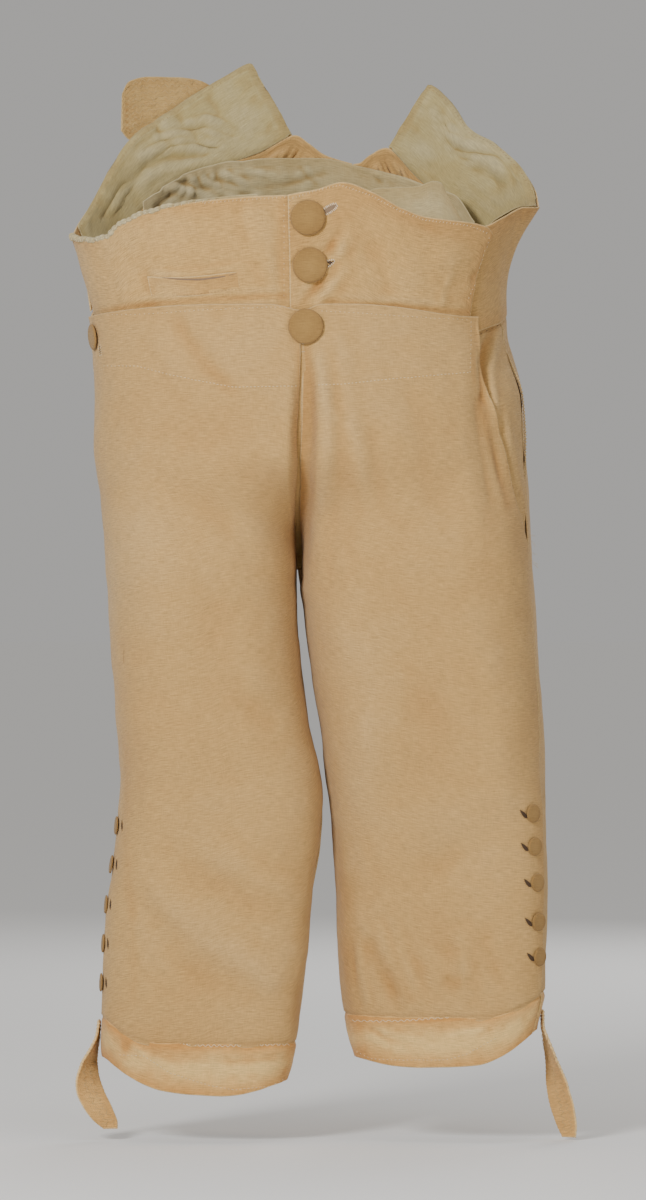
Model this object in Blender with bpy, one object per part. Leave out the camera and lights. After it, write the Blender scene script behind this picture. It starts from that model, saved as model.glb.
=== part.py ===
"""Fall-front knee breeches of about 1790, hollow, as they hang from the waist when worn.

Frame, in metres: +Z up, -Y to the front, +X to the wearer's left. The origin is the middle of the
waist, where the body holds the garment. Every cloth piece is a wall: an outer skin of points worked
out from the sections below, and an inner skin one cloth thickness behind it.
"""

import math

import bmesh
import bpy
import numpy as np
from mathutils import Matrix, Vector

# Cloth and sewing
CLOTH = 0.0015  # twill or linen with its turnings
LINING = 0.0011
STRAP = 0.0022
SEAM_GAP = 0.0004  # left between two pieces at a seam
BAND_GAP = 0.0017  # the same where a panel is gathered into the back waistband
LAYER = 0.0023  # from one layer's outer skin to the next one's behind it

# Levels
CROTCH_Z = -0.240
FRONT_RISE_Z = -0.150  # the front seam starts to turn under here
SEAT_RISE_Z = -0.110  # the seat seam starts to turn under here
SLIT_TOP_Z = -0.400  # the buttoned slit at each knee

# How square the sections are: 2 is an ellipse
BODY_SQUARENESS = 2.3
LEG_SQUARENESS = 2.7

RIGHT, LEFT = -1, 1  # the wearer's sides; the right one has negative X

BODY_COLUMNS = ("z", "out_r", "out_l", "side_y", "front_y", "back_y", "front_seam_x", "back_seam_x")
BODY = (
    (-0.300, -0.1484, 0.1759, 0.004, -0.088, 0.086, -0.0066, -0.0066),
    (-0.240, -0.1519, 0.1723, 0.006, -0.092, 0.100, -0.0066, -0.0066),
    (-0.201, -0.1549, 0.1693, 0.007, -0.095, 0.112, -0.0064, -0.0052),
    (-0.171, -0.1580, 0.1673, 0.008, -0.096, 0.120, -0.0058, -0.0040),
    (-0.141, -0.1605, 0.1658, 0.008, -0.096, 0.124, -0.0052, -0.0020),
    (-0.110, -0.1605, 0.1637, 0.008, -0.095, 0.124, -0.0040, 0.0000),
    (-0.078, -0.1620, 0.1587, 0.008, -0.094, 0.121, -0.0030, 0.0040),
    (-0.043, -0.1650, 0.1511, 0.008, -0.092, 0.116, -0.0030, 0.0100),
    (0.003, -0.1640, 0.1506, 0.008, -0.090, 0.110, -0.0020, 0.0190),
    (0.042, -0.1625, 0.1500, 0.008, -0.088, 0.106, -0.0010, 0.0290),
    (0.072, -0.1615, 0.1490, 0.008, -0.087, 0.103, -0.0010, 0.0361),
)

LEG_COLUMNS = ("z", "out_r", "in_r", "out_l", "in_l", "mid_y", "half_depth", "twist_r", "twist_l")
LEGS = (
    (-0.664, -0.1444, -0.0274, 0.1553, 0.0524, -0.006, 0.039, 0.010, -0.010),
    (-0.638, -0.1505, -0.0183, 0.1643, 0.0443, -0.006, 0.040, 0.010, -0.010),
    (-0.613, -0.1545, -0.0107, 0.1690, 0.0372, -0.005, 0.041, 0.011, -0.012),
    (-0.588, -0.1555, -0.0062, 0.1740, 0.0307, -0.005, 0.043, 0.012, -0.014),
    (-0.550, -0.1545, -0.0016, 0.1810, 0.0251, -0.005, 0.046, 0.012, -0.014),
    (-0.489, -0.1505, 0.0044, 0.1825, 0.0226, -0.005, 0.051, 0.011, -0.013),
    (-0.444, -0.1444, 0.0105, 0.1823, 0.0201, -0.004, 0.056, 0.009, -0.010),
    (-0.416, -0.1419, 0.0122, 0.1815, 0.0180, -0.004, 0.060, 0.007, -0.008),
    (-0.398, -0.1409, 0.0108, 0.1810, 0.0150, -0.003, 0.063, 0.005, -0.006),
    (-0.368, -0.1424, 0.0044, 0.1800, 0.0115, -0.002, 0.069, 0.003, -0.003),
    (-0.338, -0.1449, -0.0001, 0.1785, 0.0075, 0.000, 0.075, 0.002, -0.002),
    (-0.307, -0.1474, -0.0042, 0.1760, 0.0029, 0.002, 0.081, 0.001, -0.001),
    (-0.270, -0.1494, -0.0070, 0.1739, -0.0021, 0.004, 0.087, 0.000, 0.000),
    (-0.240, -0.1515, -0.0070, 0.1719, -0.0062, 0.006, 0.092, 0.000, 0.000),
    (-0.150, -0.1590, -0.0070, 0.1660, -0.0062, 0.008, 0.100, 0.000, 0.000),
    (-0.050, -0.1650, -0.0070, 0.1512, -0.0062, 0.008, 0.104, 0.000, 0.000),
)

# The front waistbands' sections: below the fall's edge they lie one layer inside the body's
WAIST_COLUMNS = ("z", "out_r", "out_l", "side_y", "front_y")
WAIST = (
    (-0.085, -0.1585, 0.1560, 0.009, -0.0910),
    (-0.062, -0.1595, 0.1525, 0.009, -0.0900),
    (-0.045, -0.1615, 0.1480, 0.009, -0.0890),
    (-0.030, -0.1655, 0.1490, 0.010, -0.0890),
    (-0.015, -0.1700, 0.1520, 0.011, -0.0892),
    (0.000, -0.1740, 0.1560, 0.012, -0.0895),
    (0.014, -0.1785, 0.1620, 0.013, -0.0900),
    (0.050, -0.1860, 0.1700, 0.014, -0.0905),
)
WAIST_LOW_Z = -0.076
# A front waistband's outer end at its top and its lower edge, and its inner end, as shares
FRONT_BAND_SPAN = {RIGHT: (-0.025, -0.046, 1.075), LEFT: (0.344, 0.415, 1.0355)}
UNDERLAP = (0.905, 0.955)  # the shares between which the right one steps behind the left one
# Top edges by the share of the way from the side to the front
WAIST_TOP_RIGHT = (
    (-0.06, 0.0150),
    (0.06, 0.0115),
    (0.31, 0.0078),
    (0.385, 0.0096),
    (0.43, 0.0150),
    (0.485, 0.0204),
    (0.607, 0.0285),
    (0.747, 0.0346),
    (0.971, 0.0388),
    (1.10, 0.0388),
)
WAIST_TOP_LEFT = (
    (0.33, 0.0085),
    (0.362, 0.0140),
    (0.40, 0.0175),
    (0.476, 0.0198),
    (0.576, 0.0214),
    (0.665, 0.0232),
    (0.750, 0.0295),
    (0.842, 0.0412),
    (0.924, 0.0485),
    (0.985, 0.0428),
    (1.040, 0.0388),
)

# Soft folds of the cloth: from (x, z) to (x, z), half width, depth (out is positive)
FOLD_COLUMNS = ("face", "from_x", "from_z", "to_x", "to_z", "half_width", "depth")
FOLDS = (
    ("front", -0.118, -0.482, -0.030, -0.556, 0.020, 0.0042),
    ("front", -0.128, -0.509, -0.058, -0.578, 0.016, -0.0026),
    ("front", -0.062, -0.455, -0.006, -0.503, 0.022, -0.0030),
    ("front", -0.112, -0.072, -0.060, -0.120, 0.013, 0.0028),
    ("front", -0.095, -0.112, -0.020, -0.150, 0.017, -0.0024),
    ("front", 0.060, -0.526, 0.082, -0.574, 0.009, 0.0030),
    ("front", 0.108, -0.532, 0.110, -0.570, 0.006, -0.0028),
    ("front", 0.052, -0.508, 0.140, -0.452, 0.026, -0.0030),
    ("front", 0.030, -0.165, 0.062, -0.260, 0.016, 0.0030),
    ("front", 0.090, -0.330, 0.160, -0.290, 0.024, -0.0026),
    ("front", 0.139, -0.055, 0.133, -0.112, 0.007, -0.0030),
    ("front", 0.147, -0.060, 0.146, -0.150, 0.007, 0.0022),
    ("back", -0.120, -0.190, -0.020, -0.225, 0.022, 0.0045),
    ("back", -0.110, -0.225, -0.025, -0.262, 0.018, -0.0036),
    ("back", 0.130, -0.185, 0.010, -0.232, 0.022, 0.0045),
    ("back", 0.120, -0.222, 0.020, -0.268, 0.018, -0.0036),
    ("back", -0.115, -0.420, -0.030, -0.395, 0.018, 0.0034),
    ("back", 0.060, -0.405, 0.150, -0.430, 0.018, 0.0034),
    ("lining", -0.129, 0.060, -0.108, 0.070, 0.006, 0.0036),
    ("lining", -0.113, 0.072, -0.070, 0.075, 0.006, 0.0034),
    ("lining", -0.140, 0.053, -0.118, 0.081, 0.006, -0.0008),
    ("lining", 0.108, 0.083, 0.140, 0.070, 0.006, 0.0032),
    ("lining", 0.116, 0.066, 0.134, 0.058, 0.005, 0.0026),
)

# The front seam lies in a valley between the legs' fronts
VALLEY_WIDTH = {RIGHT: 0.008, LEFT: 0.017}
VALLEY_DEPTH = 0.016
VALLEY_TOP_Z, VALLEY_FULL_Z = -0.072, -0.150

# The fall's top edge: it dips at the middle button and drops to the side corners
FALL_TOP_Z = -0.0418
FALL_DIP, FALL_DIP_WIDTH = 0.0045, 0.035
FALL_CORNER_DROP = {RIGHT: 0.0060, LEFT: 0.0080}

# The fall's free edge on the wearer's left, as a share of the way from the side to the front seam
FALL_EDGE = (
    (-0.222, 0.100),
    (-0.205, 0.150),
    (-0.188, 0.210),
    (-0.173, 0.255),
    (-0.143, 0.315),
    (-0.113, 0.355),
    (-0.108, 0.395),
    (-0.095, 0.405),
    (-0.049, 0.372),
)
FALL_EDGE_END_Z = (-0.224, -0.222)
FALL_LAP = 0.10  # how far the side piece runs on behind the fall, as a share
SIDE_PIECE_LOW_Z = -0.226
SIDE_PIECE_INSET = 1.15  # layers it lies behind the fall

# The back waistband: its top edge and its lower seam, from the side round to the vent at share 1.
# Past that the lower seam's columns give the seat's own edge down to the bottom of the vent.
BAND_COLUMNS = ("share", "top_x", "top_y", "top_z", "low_x", "low_y", "low_z")
BACK_BAND_RIGHT = (
    (0.00, -0.1789, 0.020, 0.0136, -0.1645, 0.020, -0.0435),
    (0.12, -0.1757, 0.036, 0.0224, -0.1611, 0.034, -0.0330),
    (0.26, -0.1635, 0.058, 0.0432, -0.1533, 0.050, -0.0078),
    (0.40, -0.1477, 0.079, 0.0737, -0.1378, 0.070, 0.0224),
    (0.53, -0.1323, 0.093, 0.0954, -0.1166, 0.084, 0.0478),
    (0.66, -0.1118, 0.105, 0.1098, -0.0929, 0.093, 0.0630),
    (0.80, -0.0857, 0.115, 0.1287, -0.0622, 0.099, 0.0719),
    (0.90, -0.0656, 0.121, 0.1408, -0.0344, 0.101, 0.0813),
    (1.00, -0.0424, 0.125, 0.1528, -0.0097, 0.102, 0.0937),
    (1.10, -0.0300, 0.125, 0.1500, 0.0011, 0.103, 0.0880),
    (1.20, -0.0200, 0.125, 0.1500, 0.0135, 0.103, 0.0790),
    (1.28, -0.0100, 0.125, 0.1500, 0.0243, 0.103, 0.0750),
    (1.36, 0.0000, 0.125, 0.1500, 0.0355, 0.103, 0.0718),
)
BACK_BAND_LEFT = (
    (0.00, 0.1176, -0.0560, 0.0161, 0.1116, -0.0540, -0.0602),
    (0.09, 0.1344, -0.0430, 0.0184, 0.1261, -0.0440, -0.0613),
    (0.18, 0.1491, -0.0270, 0.0261, 0.1393, -0.0270, -0.0568),
    (0.27, 0.1648, -0.0070, 0.0344, 0.1489, -0.0070, -0.0522),
    (0.35, 0.1776, 0.0160, 0.0361, 0.1525, 0.0140, -0.0453),
    (0.45, 0.1769, 0.0400, 0.0459, 0.1500, 0.0350, -0.0261),
    (0.56, 0.1669, 0.0630, 0.0665, 0.1407, 0.0590, -0.0004),
    (0.68, 0.1467, 0.0840, 0.0879, 0.1243, 0.0790, 0.0229),
    (0.80, 0.1255, 0.0990, 0.1013, 0.1053, 0.0900, 0.0436),
    (0.90, 0.1102, 0.1080, 0.1236, 0.0845, 0.0960, 0.0625),
    (1.00, 0.0941, 0.1130, 0.1363, 0.0622, 0.0990, 0.0839),
    (1.10, 0.0850, 0.1130, 0.1363, 0.0506, 0.1010, 0.0790),
    (1.20, 0.0750, 0.1130, 0.1363, 0.0413, 0.1030, 0.0726),
    (1.25, 0.0700, 0.1130, 0.1363, 0.0361, 0.1030, 0.0716),
)
BACK_BAND = {RIGHT: BACK_BAND_RIGHT, LEFT: BACK_BAND_LEFT}
BAND_DIP = {RIGHT: 0.003, LEFT: 0.009}  # how far the side bows in, half-way up
BAND_DIP_SHARE = {RIGHT: 0.10, LEFT: 0.35}
VENT_END = {RIGHT: 1.36, LEFT: 1.25}
SIDE_SHARE = {RIGHT: 0.0, LEFT: 0.27}  # the band's share at the side seam
SIDE_SEAM_GAP = 0.008  # the seam there, as a share of the band
BAND_DIP_WIDTH = 0.16

# The tab, with the same columns, from its free end to the end sewn to the right back waistband
TAB = (
    (0.00, -0.1430, 0.1080, 0.1290, -0.1440, 0.1040, 0.1000),
    (0.15, -0.1380, 0.1100, 0.1385, -0.1370, 0.1060, 0.0930),
    (0.35, -0.1230, 0.1150, 0.1427, -0.1180, 0.1090, 0.0900),
    (0.60, -0.1010, 0.1190, 0.1427, -0.0950, 0.1090, 0.0880),
    (0.80, -0.0860, 0.1222, 0.1410, -0.0750, 0.1085, 0.0880),
    (1.00, -0.0690, 0.1220, 0.1330, -0.0560, 0.1095, 0.0930),
)

# The seat lining's free top edge inside the back, from the wearer's right to the left
SEAT_LINING_COLUMNS = ("share", "x", "y", "z")
SEAT_LINING = (
    (0.00, -0.1249, 0.0440, 0.0334),
    (0.08, -0.1084, 0.0590, 0.0465),
    (0.16, -0.0902, 0.0700, 0.0579),
    (0.24, -0.0742, 0.0770, 0.0636),
    (0.32, -0.0558, 0.0810, 0.0738),
    (0.44, -0.0288, 0.0840, 0.0778),
    (0.57, 0.0097, 0.0850, 0.0779),
    (0.68, 0.0405, 0.0840, 0.0713),
    (0.78, 0.0712, 0.0790, 0.0638),
    (0.86, 0.0934, 0.0720, 0.0557),
    (0.93, 0.1140, 0.0600, 0.0480),
    (1.00, 0.1290, 0.0440, 0.0265),
)
SEAT_LINING_DROP = 0.100
SEAT_LINING_SLACK = 0.007  # how far its sides stand off the seat, from one x to another
SEAT_LINING_SLACK_X = (0.085, 0.125)

# The welt of the small pocket
WELT = 0.0012
WELT_SPAN = (0.530, 0.842)  # shares of the right front waistband
WELT_TOP_Z, WELT_SAG, WELT_RISE, WELT_HEIGHT = -0.0205, 0.0022, 0.0028, 0.0150

# The part of the left front's lining that stands above the waistband
FRONT_LINING_TOP = (
    (0.50, 0.0200),
    (0.53, 0.0369),
    (0.57, 0.0500),
    (0.60, 0.0510),
    (0.66, 0.0469),
    (0.73, 0.0459),
    (0.80, 0.0450),
    (0.86, 0.0380),
)
FRONT_LINING_SPAN = {RIGHT: (0.02, 0.90), LEFT: (0.50, 0.86)}  # shares
FRONT_LINING_LOW_Z = {RIGHT: -0.022, LEFT: -0.020}
FRONT_LINING_STAND = 0.0018  # how far the right one's rolled edge stands above its waistband
FRONT_LINING_BEHIND = 0.0008
FLAP_LEAN, FLAP_LEAN_FROM_Z, FLAP_LEAN_RISE = 0.012, 0.012, 0.035  # the left one leans inwards

KNEE_SEAM = {RIGHT: (-0.5955, 0.0180), LEFT: (-0.5755, 0.0175)}  # level, and how far the outer end rises
HEM = {RIGHT: (-0.6245, -0.0105, 0.0160), LEFT: (-0.6080, -0.0060, 0.0210)}  # and how far the front hangs
HEM_LOWEST_SHARE, HEM_HANG_WIDTH = 0.56, 0.22
OUTER_RISE = (0.05, 0.42)  # the shares between which the knee seam and hem rise to the outer end
SLIT_OPENS_Z = (SLIT_TOP_Z + 0.01, SLIT_TOP_Z - 0.02)
SLIT_STEP_Z = (SLIT_TOP_Z + 0.040, SLIT_TOP_Z + 0.015)  # the back steps one layer in behind the front
SLIT_STEP_SHARE = (-0.13, -0.03)
SLIT_LAP = 0.075  # how far the back runs on behind the front at the knee slit, as a share

STRAP_COLUMNS = ("x", "y", "z", "turn", "half_width")
STRAPS = {
    RIGHT: (
        (-0.1570, 0.0070, -0.5810, 90, 0.0100),
        (-0.1580, 0.0065, -0.5920, 86, 0.0112),
        (-0.1612, 0.0050, -0.6030, 76, 0.0118),
        (-0.1645, 0.0025, -0.6130, 62, 0.0120),
        (-0.1655, 0.0000, -0.6230, 48, 0.0120),
        (-0.1635, -0.0025, -0.6340, 28, 0.0118),
        (-0.1585, -0.0050, -0.6450, 12, 0.0112),
        (-0.1525, -0.0060, -0.6555, 5, 0.0095),
        (-0.1480, -0.0060, -0.6625, 0, 0.0055),
    ),
    LEFT: (
        (0.1786, -0.0170, -0.5720, 90, 0.0100),
        (0.1786, -0.0165, -0.5830, 91, 0.0112),
        (0.1815, -0.0150, -0.5950, 98, 0.0118),
        (0.1850, -0.0130, -0.6080, 108, 0.0120),
        (0.1880, -0.0110, -0.6200, 122, 0.0118),
        (0.1905, -0.0090, -0.6320, 138, 0.0113),
        (0.1935, -0.0075, -0.6450, 146, 0.0108),
        (0.1965, -0.0065, -0.6570, 146, 0.0095),
        (0.1990, -0.0060, -0.6690, 148, 0.0060),
    ),
}

# Covered buttons
WAIST_BUTTON_R, CORNER_BUTTON_R, KNEE_BUTTON_R = 0.0132, 0.0098, 0.0070
WAIST_BUTTONS = ((0.0016, 0.0219), (0.0031, -0.0134))  # x and z
FALL_BUTTON_Z = -0.0592
CORNER_BUTTON_SHARE, CORNER_BUTTON_Z = 0.145, -0.0640
KNEE_BUTTON_Z = {
    RIGHT: (-0.4329, -0.4625, -0.4928, -0.5223, -0.5519),
    LEFT: (-0.4225, -0.4474, -0.4745, -0.5039, -0.5304),
}
KNEE_BUTTON_SHARE = {
    RIGHT: (0.060, 0.050, 0.045, 0.045, 0.045),
    LEFT: (0.200, 0.195, 0.180, 0.170, 0.155),
}
WAIST_BUTTON_SIDES, CORNER_BUTTON_SIDES, KNEE_BUTTON_SIDES = 24, 20, 16
BUTTON_PROFILE = ((0.36, 0.42), (0.70, 0.34), (0.92, 0.21), (1.0, 0.10), (0.93, 0.02), (0.50, 0.0))
BUTTON_CROWN = 0.45

# Gathers of the seat where it is set into the back waistband
GATHER_PITCH = 0.14  # from one crest to the next, as a share of half the seat
GATHER_DEPTH = 0.0038
GATHER_FADE = 0.075  # how far down they run out
GATHER_CREST = 0.35  # a crest's share of the way to the vent
GATHER_FROM = (0.20, 0.40)  # the shares between which they begin and end
GATHER_TO = (0.90, 0.95)
BAND_DRAW = 0.060  # how far below the band a panel is drawn to it

MATERIALS = {
    "cloth": ((0.62, 0.45, 0.26), 0.9),
    "tab_cloth": ((0.50, 0.36, 0.21), 0.92),
    "lining": ((0.70, 0.66, 0.54), 0.92),
    "button": ((0.58, 0.41, 0.23), 0.85),
}

FRONT_SHARES = np.array([0, 0.07, 0.15, 0.25, 0.36, 0.47, 0.58, 0.68, 0.77, 0.85, 0.915, 0.955, 0.98, 1.0])
BACK_SHARES = np.array(
    [0, 0.07, 0.14, 0.21, 0.28, 0.35, 0.42, 0.49, 0.56, 0.63, 0.70, 0.77, 0.84, 0.91, 0.96, 0.985, 1.0]
)
BAND_SHARES = np.linspace(0.002, 1.0, 20)
# Where the side seam lies, by height: behind the side on the right, before it on the left
OUTSEAM = {
    RIGHT: ((-0.70, -0.025), (-0.40, -0.025), (-0.25, -0.040), (-0.04, -0.051)),
    LEFT: ((-0.70, 0.110), (-0.40, 0.110), (-0.20, 0.100), (-0.04, 0.100)),
}
ROW_BUNCHING = 0.30
SHARE_GAP = 0.0013  # half a seam gap, as a share of the way round


def clear_scene():
    for thing in list(bpy.data.objects):
        bpy.data.objects.remove(thing)


def make_materials():
    made = {}
    for name, (colour, roughness) in MATERIALS.items():
        material = bpy.data.materials.new(name)
        material.use_nodes = True
        shader = material.node_tree.nodes["Principled BSDF"]
        shader.inputs["Base Color"].default_value = (*colour, 1.0)
        shader.inputs["Roughness"].default_value = roughness
        shader.inputs["Metallic"].default_value = 0.0
        made[name] = material
    return made


def ease(start, end, at):
    """0 before start, 1 after end, and a smooth step between them."""
    share = np.clip((np.asarray(at, float) - start) / (end - start), 0.0, 1.0)
    return share * share * (3.0 - 2.0 * share)


def curve(keys, values, at):
    """A smooth curve through some values that never overshoots them."""
    keys, values = np.asarray(keys, float), np.asarray(values, float)
    rise = np.diff(values) / np.diff(keys)
    before, after = rise[:-1], rise[1:]
    same_way = before * after > 0
    total = np.where(same_way, before + after, 1.0)
    inner = np.where(same_way, 2.0 * before * after / total, 0.0)
    slopes = np.concatenate([rise[:1], inner, rise[-1:]])
    at = np.clip(np.asarray(at, float), keys[0], keys[-1])
    low = np.clip(np.searchsorted(keys, at) - 1, 0, len(keys) - 2)
    width = keys[low + 1] - keys[low]
    t = (at - keys[low]) / width
    return (
        values[low] * (2 * t**3 - 3 * t**2 + 1)
        + values[low + 1] * (3 * t**2 - 2 * t**3)
        + slopes[low] * width * (t**3 - 2 * t**2 + t)
        + slopes[low + 1] * width * (t**3 - t**2)
    )


def read(table, columns, name, at):
    """One named column of a table, read at values of its first column."""
    place = columns.index(name)
    return curve([row[0] for row in table], [row[place] for row in table], at)


def pairs(table, at):
    """A table of two columns, read at values of its first one."""
    return curve([row[0] for row in table], [row[1] for row in table], at)


def bent(value, squareness):
    """A sine or cosine, bent so that the section through it is a squarish ellipse."""
    return np.sign(value) * np.abs(value) ** (2.0 / squareness)


def fold_push(face, x, z):
    """How far the soft folds push the cloth out at a place of one face."""
    total = np.zeros_like(x + z)
    for row in FOLDS:
        fold = dict(zip(FOLD_COLUMNS, row))
        if fold["face"] != face:
            continue
        run_x, run_z = fold["to_x"] - fold["from_x"], fold["to_z"] - fold["from_z"]
        length = math.hypot(run_x, run_z)
        along = ((x - fold["from_x"]) * run_x + (z - fold["from_z"]) * run_z) / length**2
        across = ((x - fold["from_x"]) * run_z - (z - fold["from_z"]) * run_x) / length
        ends = ease(-0.35, 0.25, along) * (1.0 - ease(0.75, 1.35, along))
        total = total + fold["depth"] * ends * np.exp(-((across / fold["half_width"]) ** 2))
    return total


def body_point(side, share, z):
    """A point of the body's section. share is 0 at the side, 1 at the front seam, -1 at the seat seam."""
    front = share >= 0.0
    x_out = read(BODY, BODY_COLUMNS, "out_l" if side == LEFT else "out_r", z)
    front_seam = read(BODY, BODY_COLUMNS, "front_seam_x", z)
    x_seam = np.where(front, front_seam, read(BODY, BODY_COLUMNS, "back_seam_x", z))
    side_y = read(BODY, BODY_COLUMNS, "side_y", z)
    far_y = np.where(front, read(BODY, BODY_COLUMNS, "front_y", z), read(BODY, BODY_COLUMNS, "back_y", z))
    turn = np.abs(share) * math.pi / 2
    x = x_seam + (x_out - x_seam) * bent(np.cos(turn), BODY_SQUARENESS)
    y = side_y + (far_y - side_y) * bent(np.sin(turn), BODY_SQUARENESS)
    valley_depth = VALLEY_DEPTH * ease(VALLEY_TOP_Z, VALLEY_FULL_Z, z)
    near_seam = 1.0 - ease(0.0, VALLEY_WIDTH[side], np.abs(x - front_seam))
    return x, y + np.where(front, valley_depth * near_seam, 0.0)


def seat_y(x, z):
    """How far back the outer skin lies at a place of the seat."""
    seam = read(BODY, BODY_COLUMNS, "back_seam_x", z)
    x_out = np.where(x > seam, read(BODY, BODY_COLUMNS, "out_l", z), read(BODY, BODY_COLUMNS, "out_r", z))
    side_y = read(BODY, BODY_COLUMNS, "side_y", z)
    far_y = read(BODY, BODY_COLUMNS, "back_y", z)
    across = np.clip(np.abs((x - seam) / (x_out - seam)), 0.0, 0.999)
    return side_y + (far_y - side_y) * (1.0 - across**BODY_SQUARENESS) ** (1.0 / BODY_SQUARENESS)


def leg_point(side, share, z):
    """A point of the leg's section. share is 0 at the outer side and 1 or -1 at the inner one."""
    letter = "l" if side == LEFT else "r"
    x_out = read(LEGS, LEG_COLUMNS, "out_" + letter, z)
    x_in = read(LEGS, LEG_COLUMNS, "in_" + letter, z)
    middle, reach = (x_out + x_in) / 2, (x_out - x_in) / 2
    across = bent(np.cos(share * math.pi), LEG_SQUARENESS)
    depth = bent(np.sin(share * math.pi), LEG_SQUARENESS)
    y = read(LEGS, LEG_COLUMNS, "mid_y", z) - read(LEGS, LEG_COLUMNS, "half_depth", z) * depth
    return middle + reach * across, y + read(LEGS, LEG_COLUMNS, "twist_" + letter, z) * across


def skin(side, share, z):
    """The garment's outer skin below the waist, as an array of points."""
    share, z = np.broadcast_arrays(np.asarray(share, float), np.asarray(z, float))
    body_x, body_y = body_point(side, share, z)
    leg_x, leg_y = leg_point(side, share, z)
    rise = np.where(share >= 0, ease(FRONT_RISE_Z, CROTCH_Z, z), ease(SEAT_RISE_Z, CROTCH_Z, z))
    x = body_x + (leg_x - body_x) * rise
    y = body_y + (leg_y - body_y) * rise
    round_share = np.clip(np.abs(share), 0, 1) * (0.5 + 0.5 * rise)
    facing = np.abs(np.sin(round_share * math.pi))
    push = np.where(share >= 0, -fold_push("front", x, z), fold_push("back", x, z))
    return np.stack([x, y + push * facing, z], axis=-1)


def waist_skin(side, share, z):
    """The front waistbands' outer skin."""
    share, z = np.broadcast_arrays(np.asarray(share, float), np.asarray(z, float))
    x_out = read(WAIST, WAIST_COLUMNS, "out_l" if side == LEFT else "out_r", z)
    side_y = read(WAIST, WAIST_COLUMNS, "side_y", z)
    front_y = read(WAIST, WAIST_COLUMNS, "front_y", z)
    x = x_out * bent(np.cos(share * math.pi / 2), BODY_SQUARENESS)
    y = side_y + (front_y - side_y) * bent(np.sin(share * math.pi / 2), BODY_SQUARENESS)
    return np.stack([x, y, z], axis=-1)


def band_skin(side, share, up):
    """A back waistband's outer skin. up runs from the lower seam at 0 to the top edge at 1."""
    share, up = np.broadcast_arrays(np.asarray(share, float), np.asarray(up, float))
    table = BACK_BAND[side]
    top = np.stack([read(table, BAND_COLUMNS, "top_" + axis, share) for axis in "xyz"], axis=-1)
    low = np.stack([read(table, BAND_COLUMNS, "low_" + axis, share) for axis in "xyz"], axis=-1)
    points = low + (top - low) * up[..., None]
    bow = BAND_DIP[side] * np.sin(np.pi * np.clip(up, 0, 1))
    points[..., 0] -= side * bow * np.exp(-(((share - BAND_DIP_SHARE[side]) / BAND_DIP_WIDTH) ** 2))
    return points


def from_axis(points):
    """Outwards from the upright axis through the waist's middle."""
    away = points - np.array([0.0, 0.01, 0.0])
    away[..., 2] = 0.0
    return away


def from_leg(side):
    """Outwards from the middle of one leg, and above it from the middle of that half of the body."""
    letter = "l" if side == LEFT else "r"

    def direction(points):
        z = points[..., 2]
        middle = (read(LEGS, LEG_COLUMNS, "out_" + letter, z) + read(LEGS, LEG_COLUMNS, "in_" + letter, z)) / 2
        return points - np.stack([middle, 0 * z + 0.005, z], axis=-1)

    return direction


def grids(surface, across, down, out, wall=CLOTH, behind=0.0):
    """The outer and inner points of a wall, read from a surface on a grid of its two measures.

    out gives the outward sense at each point, and behind sets the wall that far inside the surface.
    """
    across, down = np.broadcast_arrays(across, down)
    step = 1e-4
    over = surface(across + step, down) - surface(across - step, down)
    along = surface(across, down + step) - surface(across, down - step)
    normal = np.cross(over, along)
    normal /= np.maximum(np.linalg.norm(normal, axis=-1, keepdims=True), 1e-12)
    at = surface(across, down)
    sense = np.sign(np.sum(normal * out(at), axis=(0, 1, 2)))
    normal = normal * sense
    behind = np.broadcast_to(np.asarray(behind, float), across.shape)[..., None]
    return at - normal * behind, at - normal * (behind + wall)


def make_wall(name, points, material, collection):
    """A closed wall from its outer and inner grids of points, which have the same rows and columns."""
    rows, columns = points[0].shape[:2]
    bm = bmesh.new()
    sheets = [[[bm.verts.new(grid[r, c]) for c in range(columns)] for r in range(rows)] for grid in points]
    for sheet in sheets:
        for r in range(rows - 1):
            for c in range(columns - 1):
                bm.faces.new((sheet[r][c], sheet[r][c + 1], sheet[r + 1][c + 1], sheet[r + 1][c]))
    rim = [(0, c) for c in range(columns)]
    rim += [(r, columns - 1) for r in range(1, rows)]
    rim += [(rows - 1, c) for c in range(columns - 2, -1, -1)]
    rim += [(r, 0) for r in range(rows - 2, 0, -1)]
    outer, inner = sheets
    for (r, c), (next_r, next_c) in zip(rim, rim[1:] + rim[:1]):
        bm.faces.new((outer[r][c], outer[next_r][next_c], inner[next_r][next_c], inner[r][c]))
    return finish(name, bm, material, collection)


def finish(name, bm, material, collection):
    """The object of a finished bmesh, with its faces out and its material."""
    bmesh.ops.recalc_face_normals(bm, faces=bm.faces)
    mesh = bpy.data.meshes.new(name)
    bm.to_mesh(mesh)
    bm.free()
    mesh.shade_smooth()
    mesh.set_sharp_from_angle(angle=math.radians(50))
    thing = bpy.data.objects.new(name, mesh)
    thing.data.materials.append(material)
    collection.objects.link(thing)
    return thing


def outseam(side, z):
    return pairs(OUTSEAM[side], z)


def fall_top(side, share):
    """The fall's top edge: it dips at the middle button and drops to the side corners."""
    dip = FALL_DIP * np.exp(-(((share - 1.0) / FALL_DIP_WIDTH) ** 2))
    corner = FALL_CORNER_DROP[side] * (1.0 - ease(0.10, 0.80, share))
    return FALL_TOP_Z - dip - corner


def knee_seam(side, share):
    """The seam where the leg is set into its kneeband: it rises to the outer side."""
    level, lift = KNEE_SEAM[side]
    return level + lift * (1.0 - ease(*OUTER_RISE, np.abs(share)))


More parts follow.
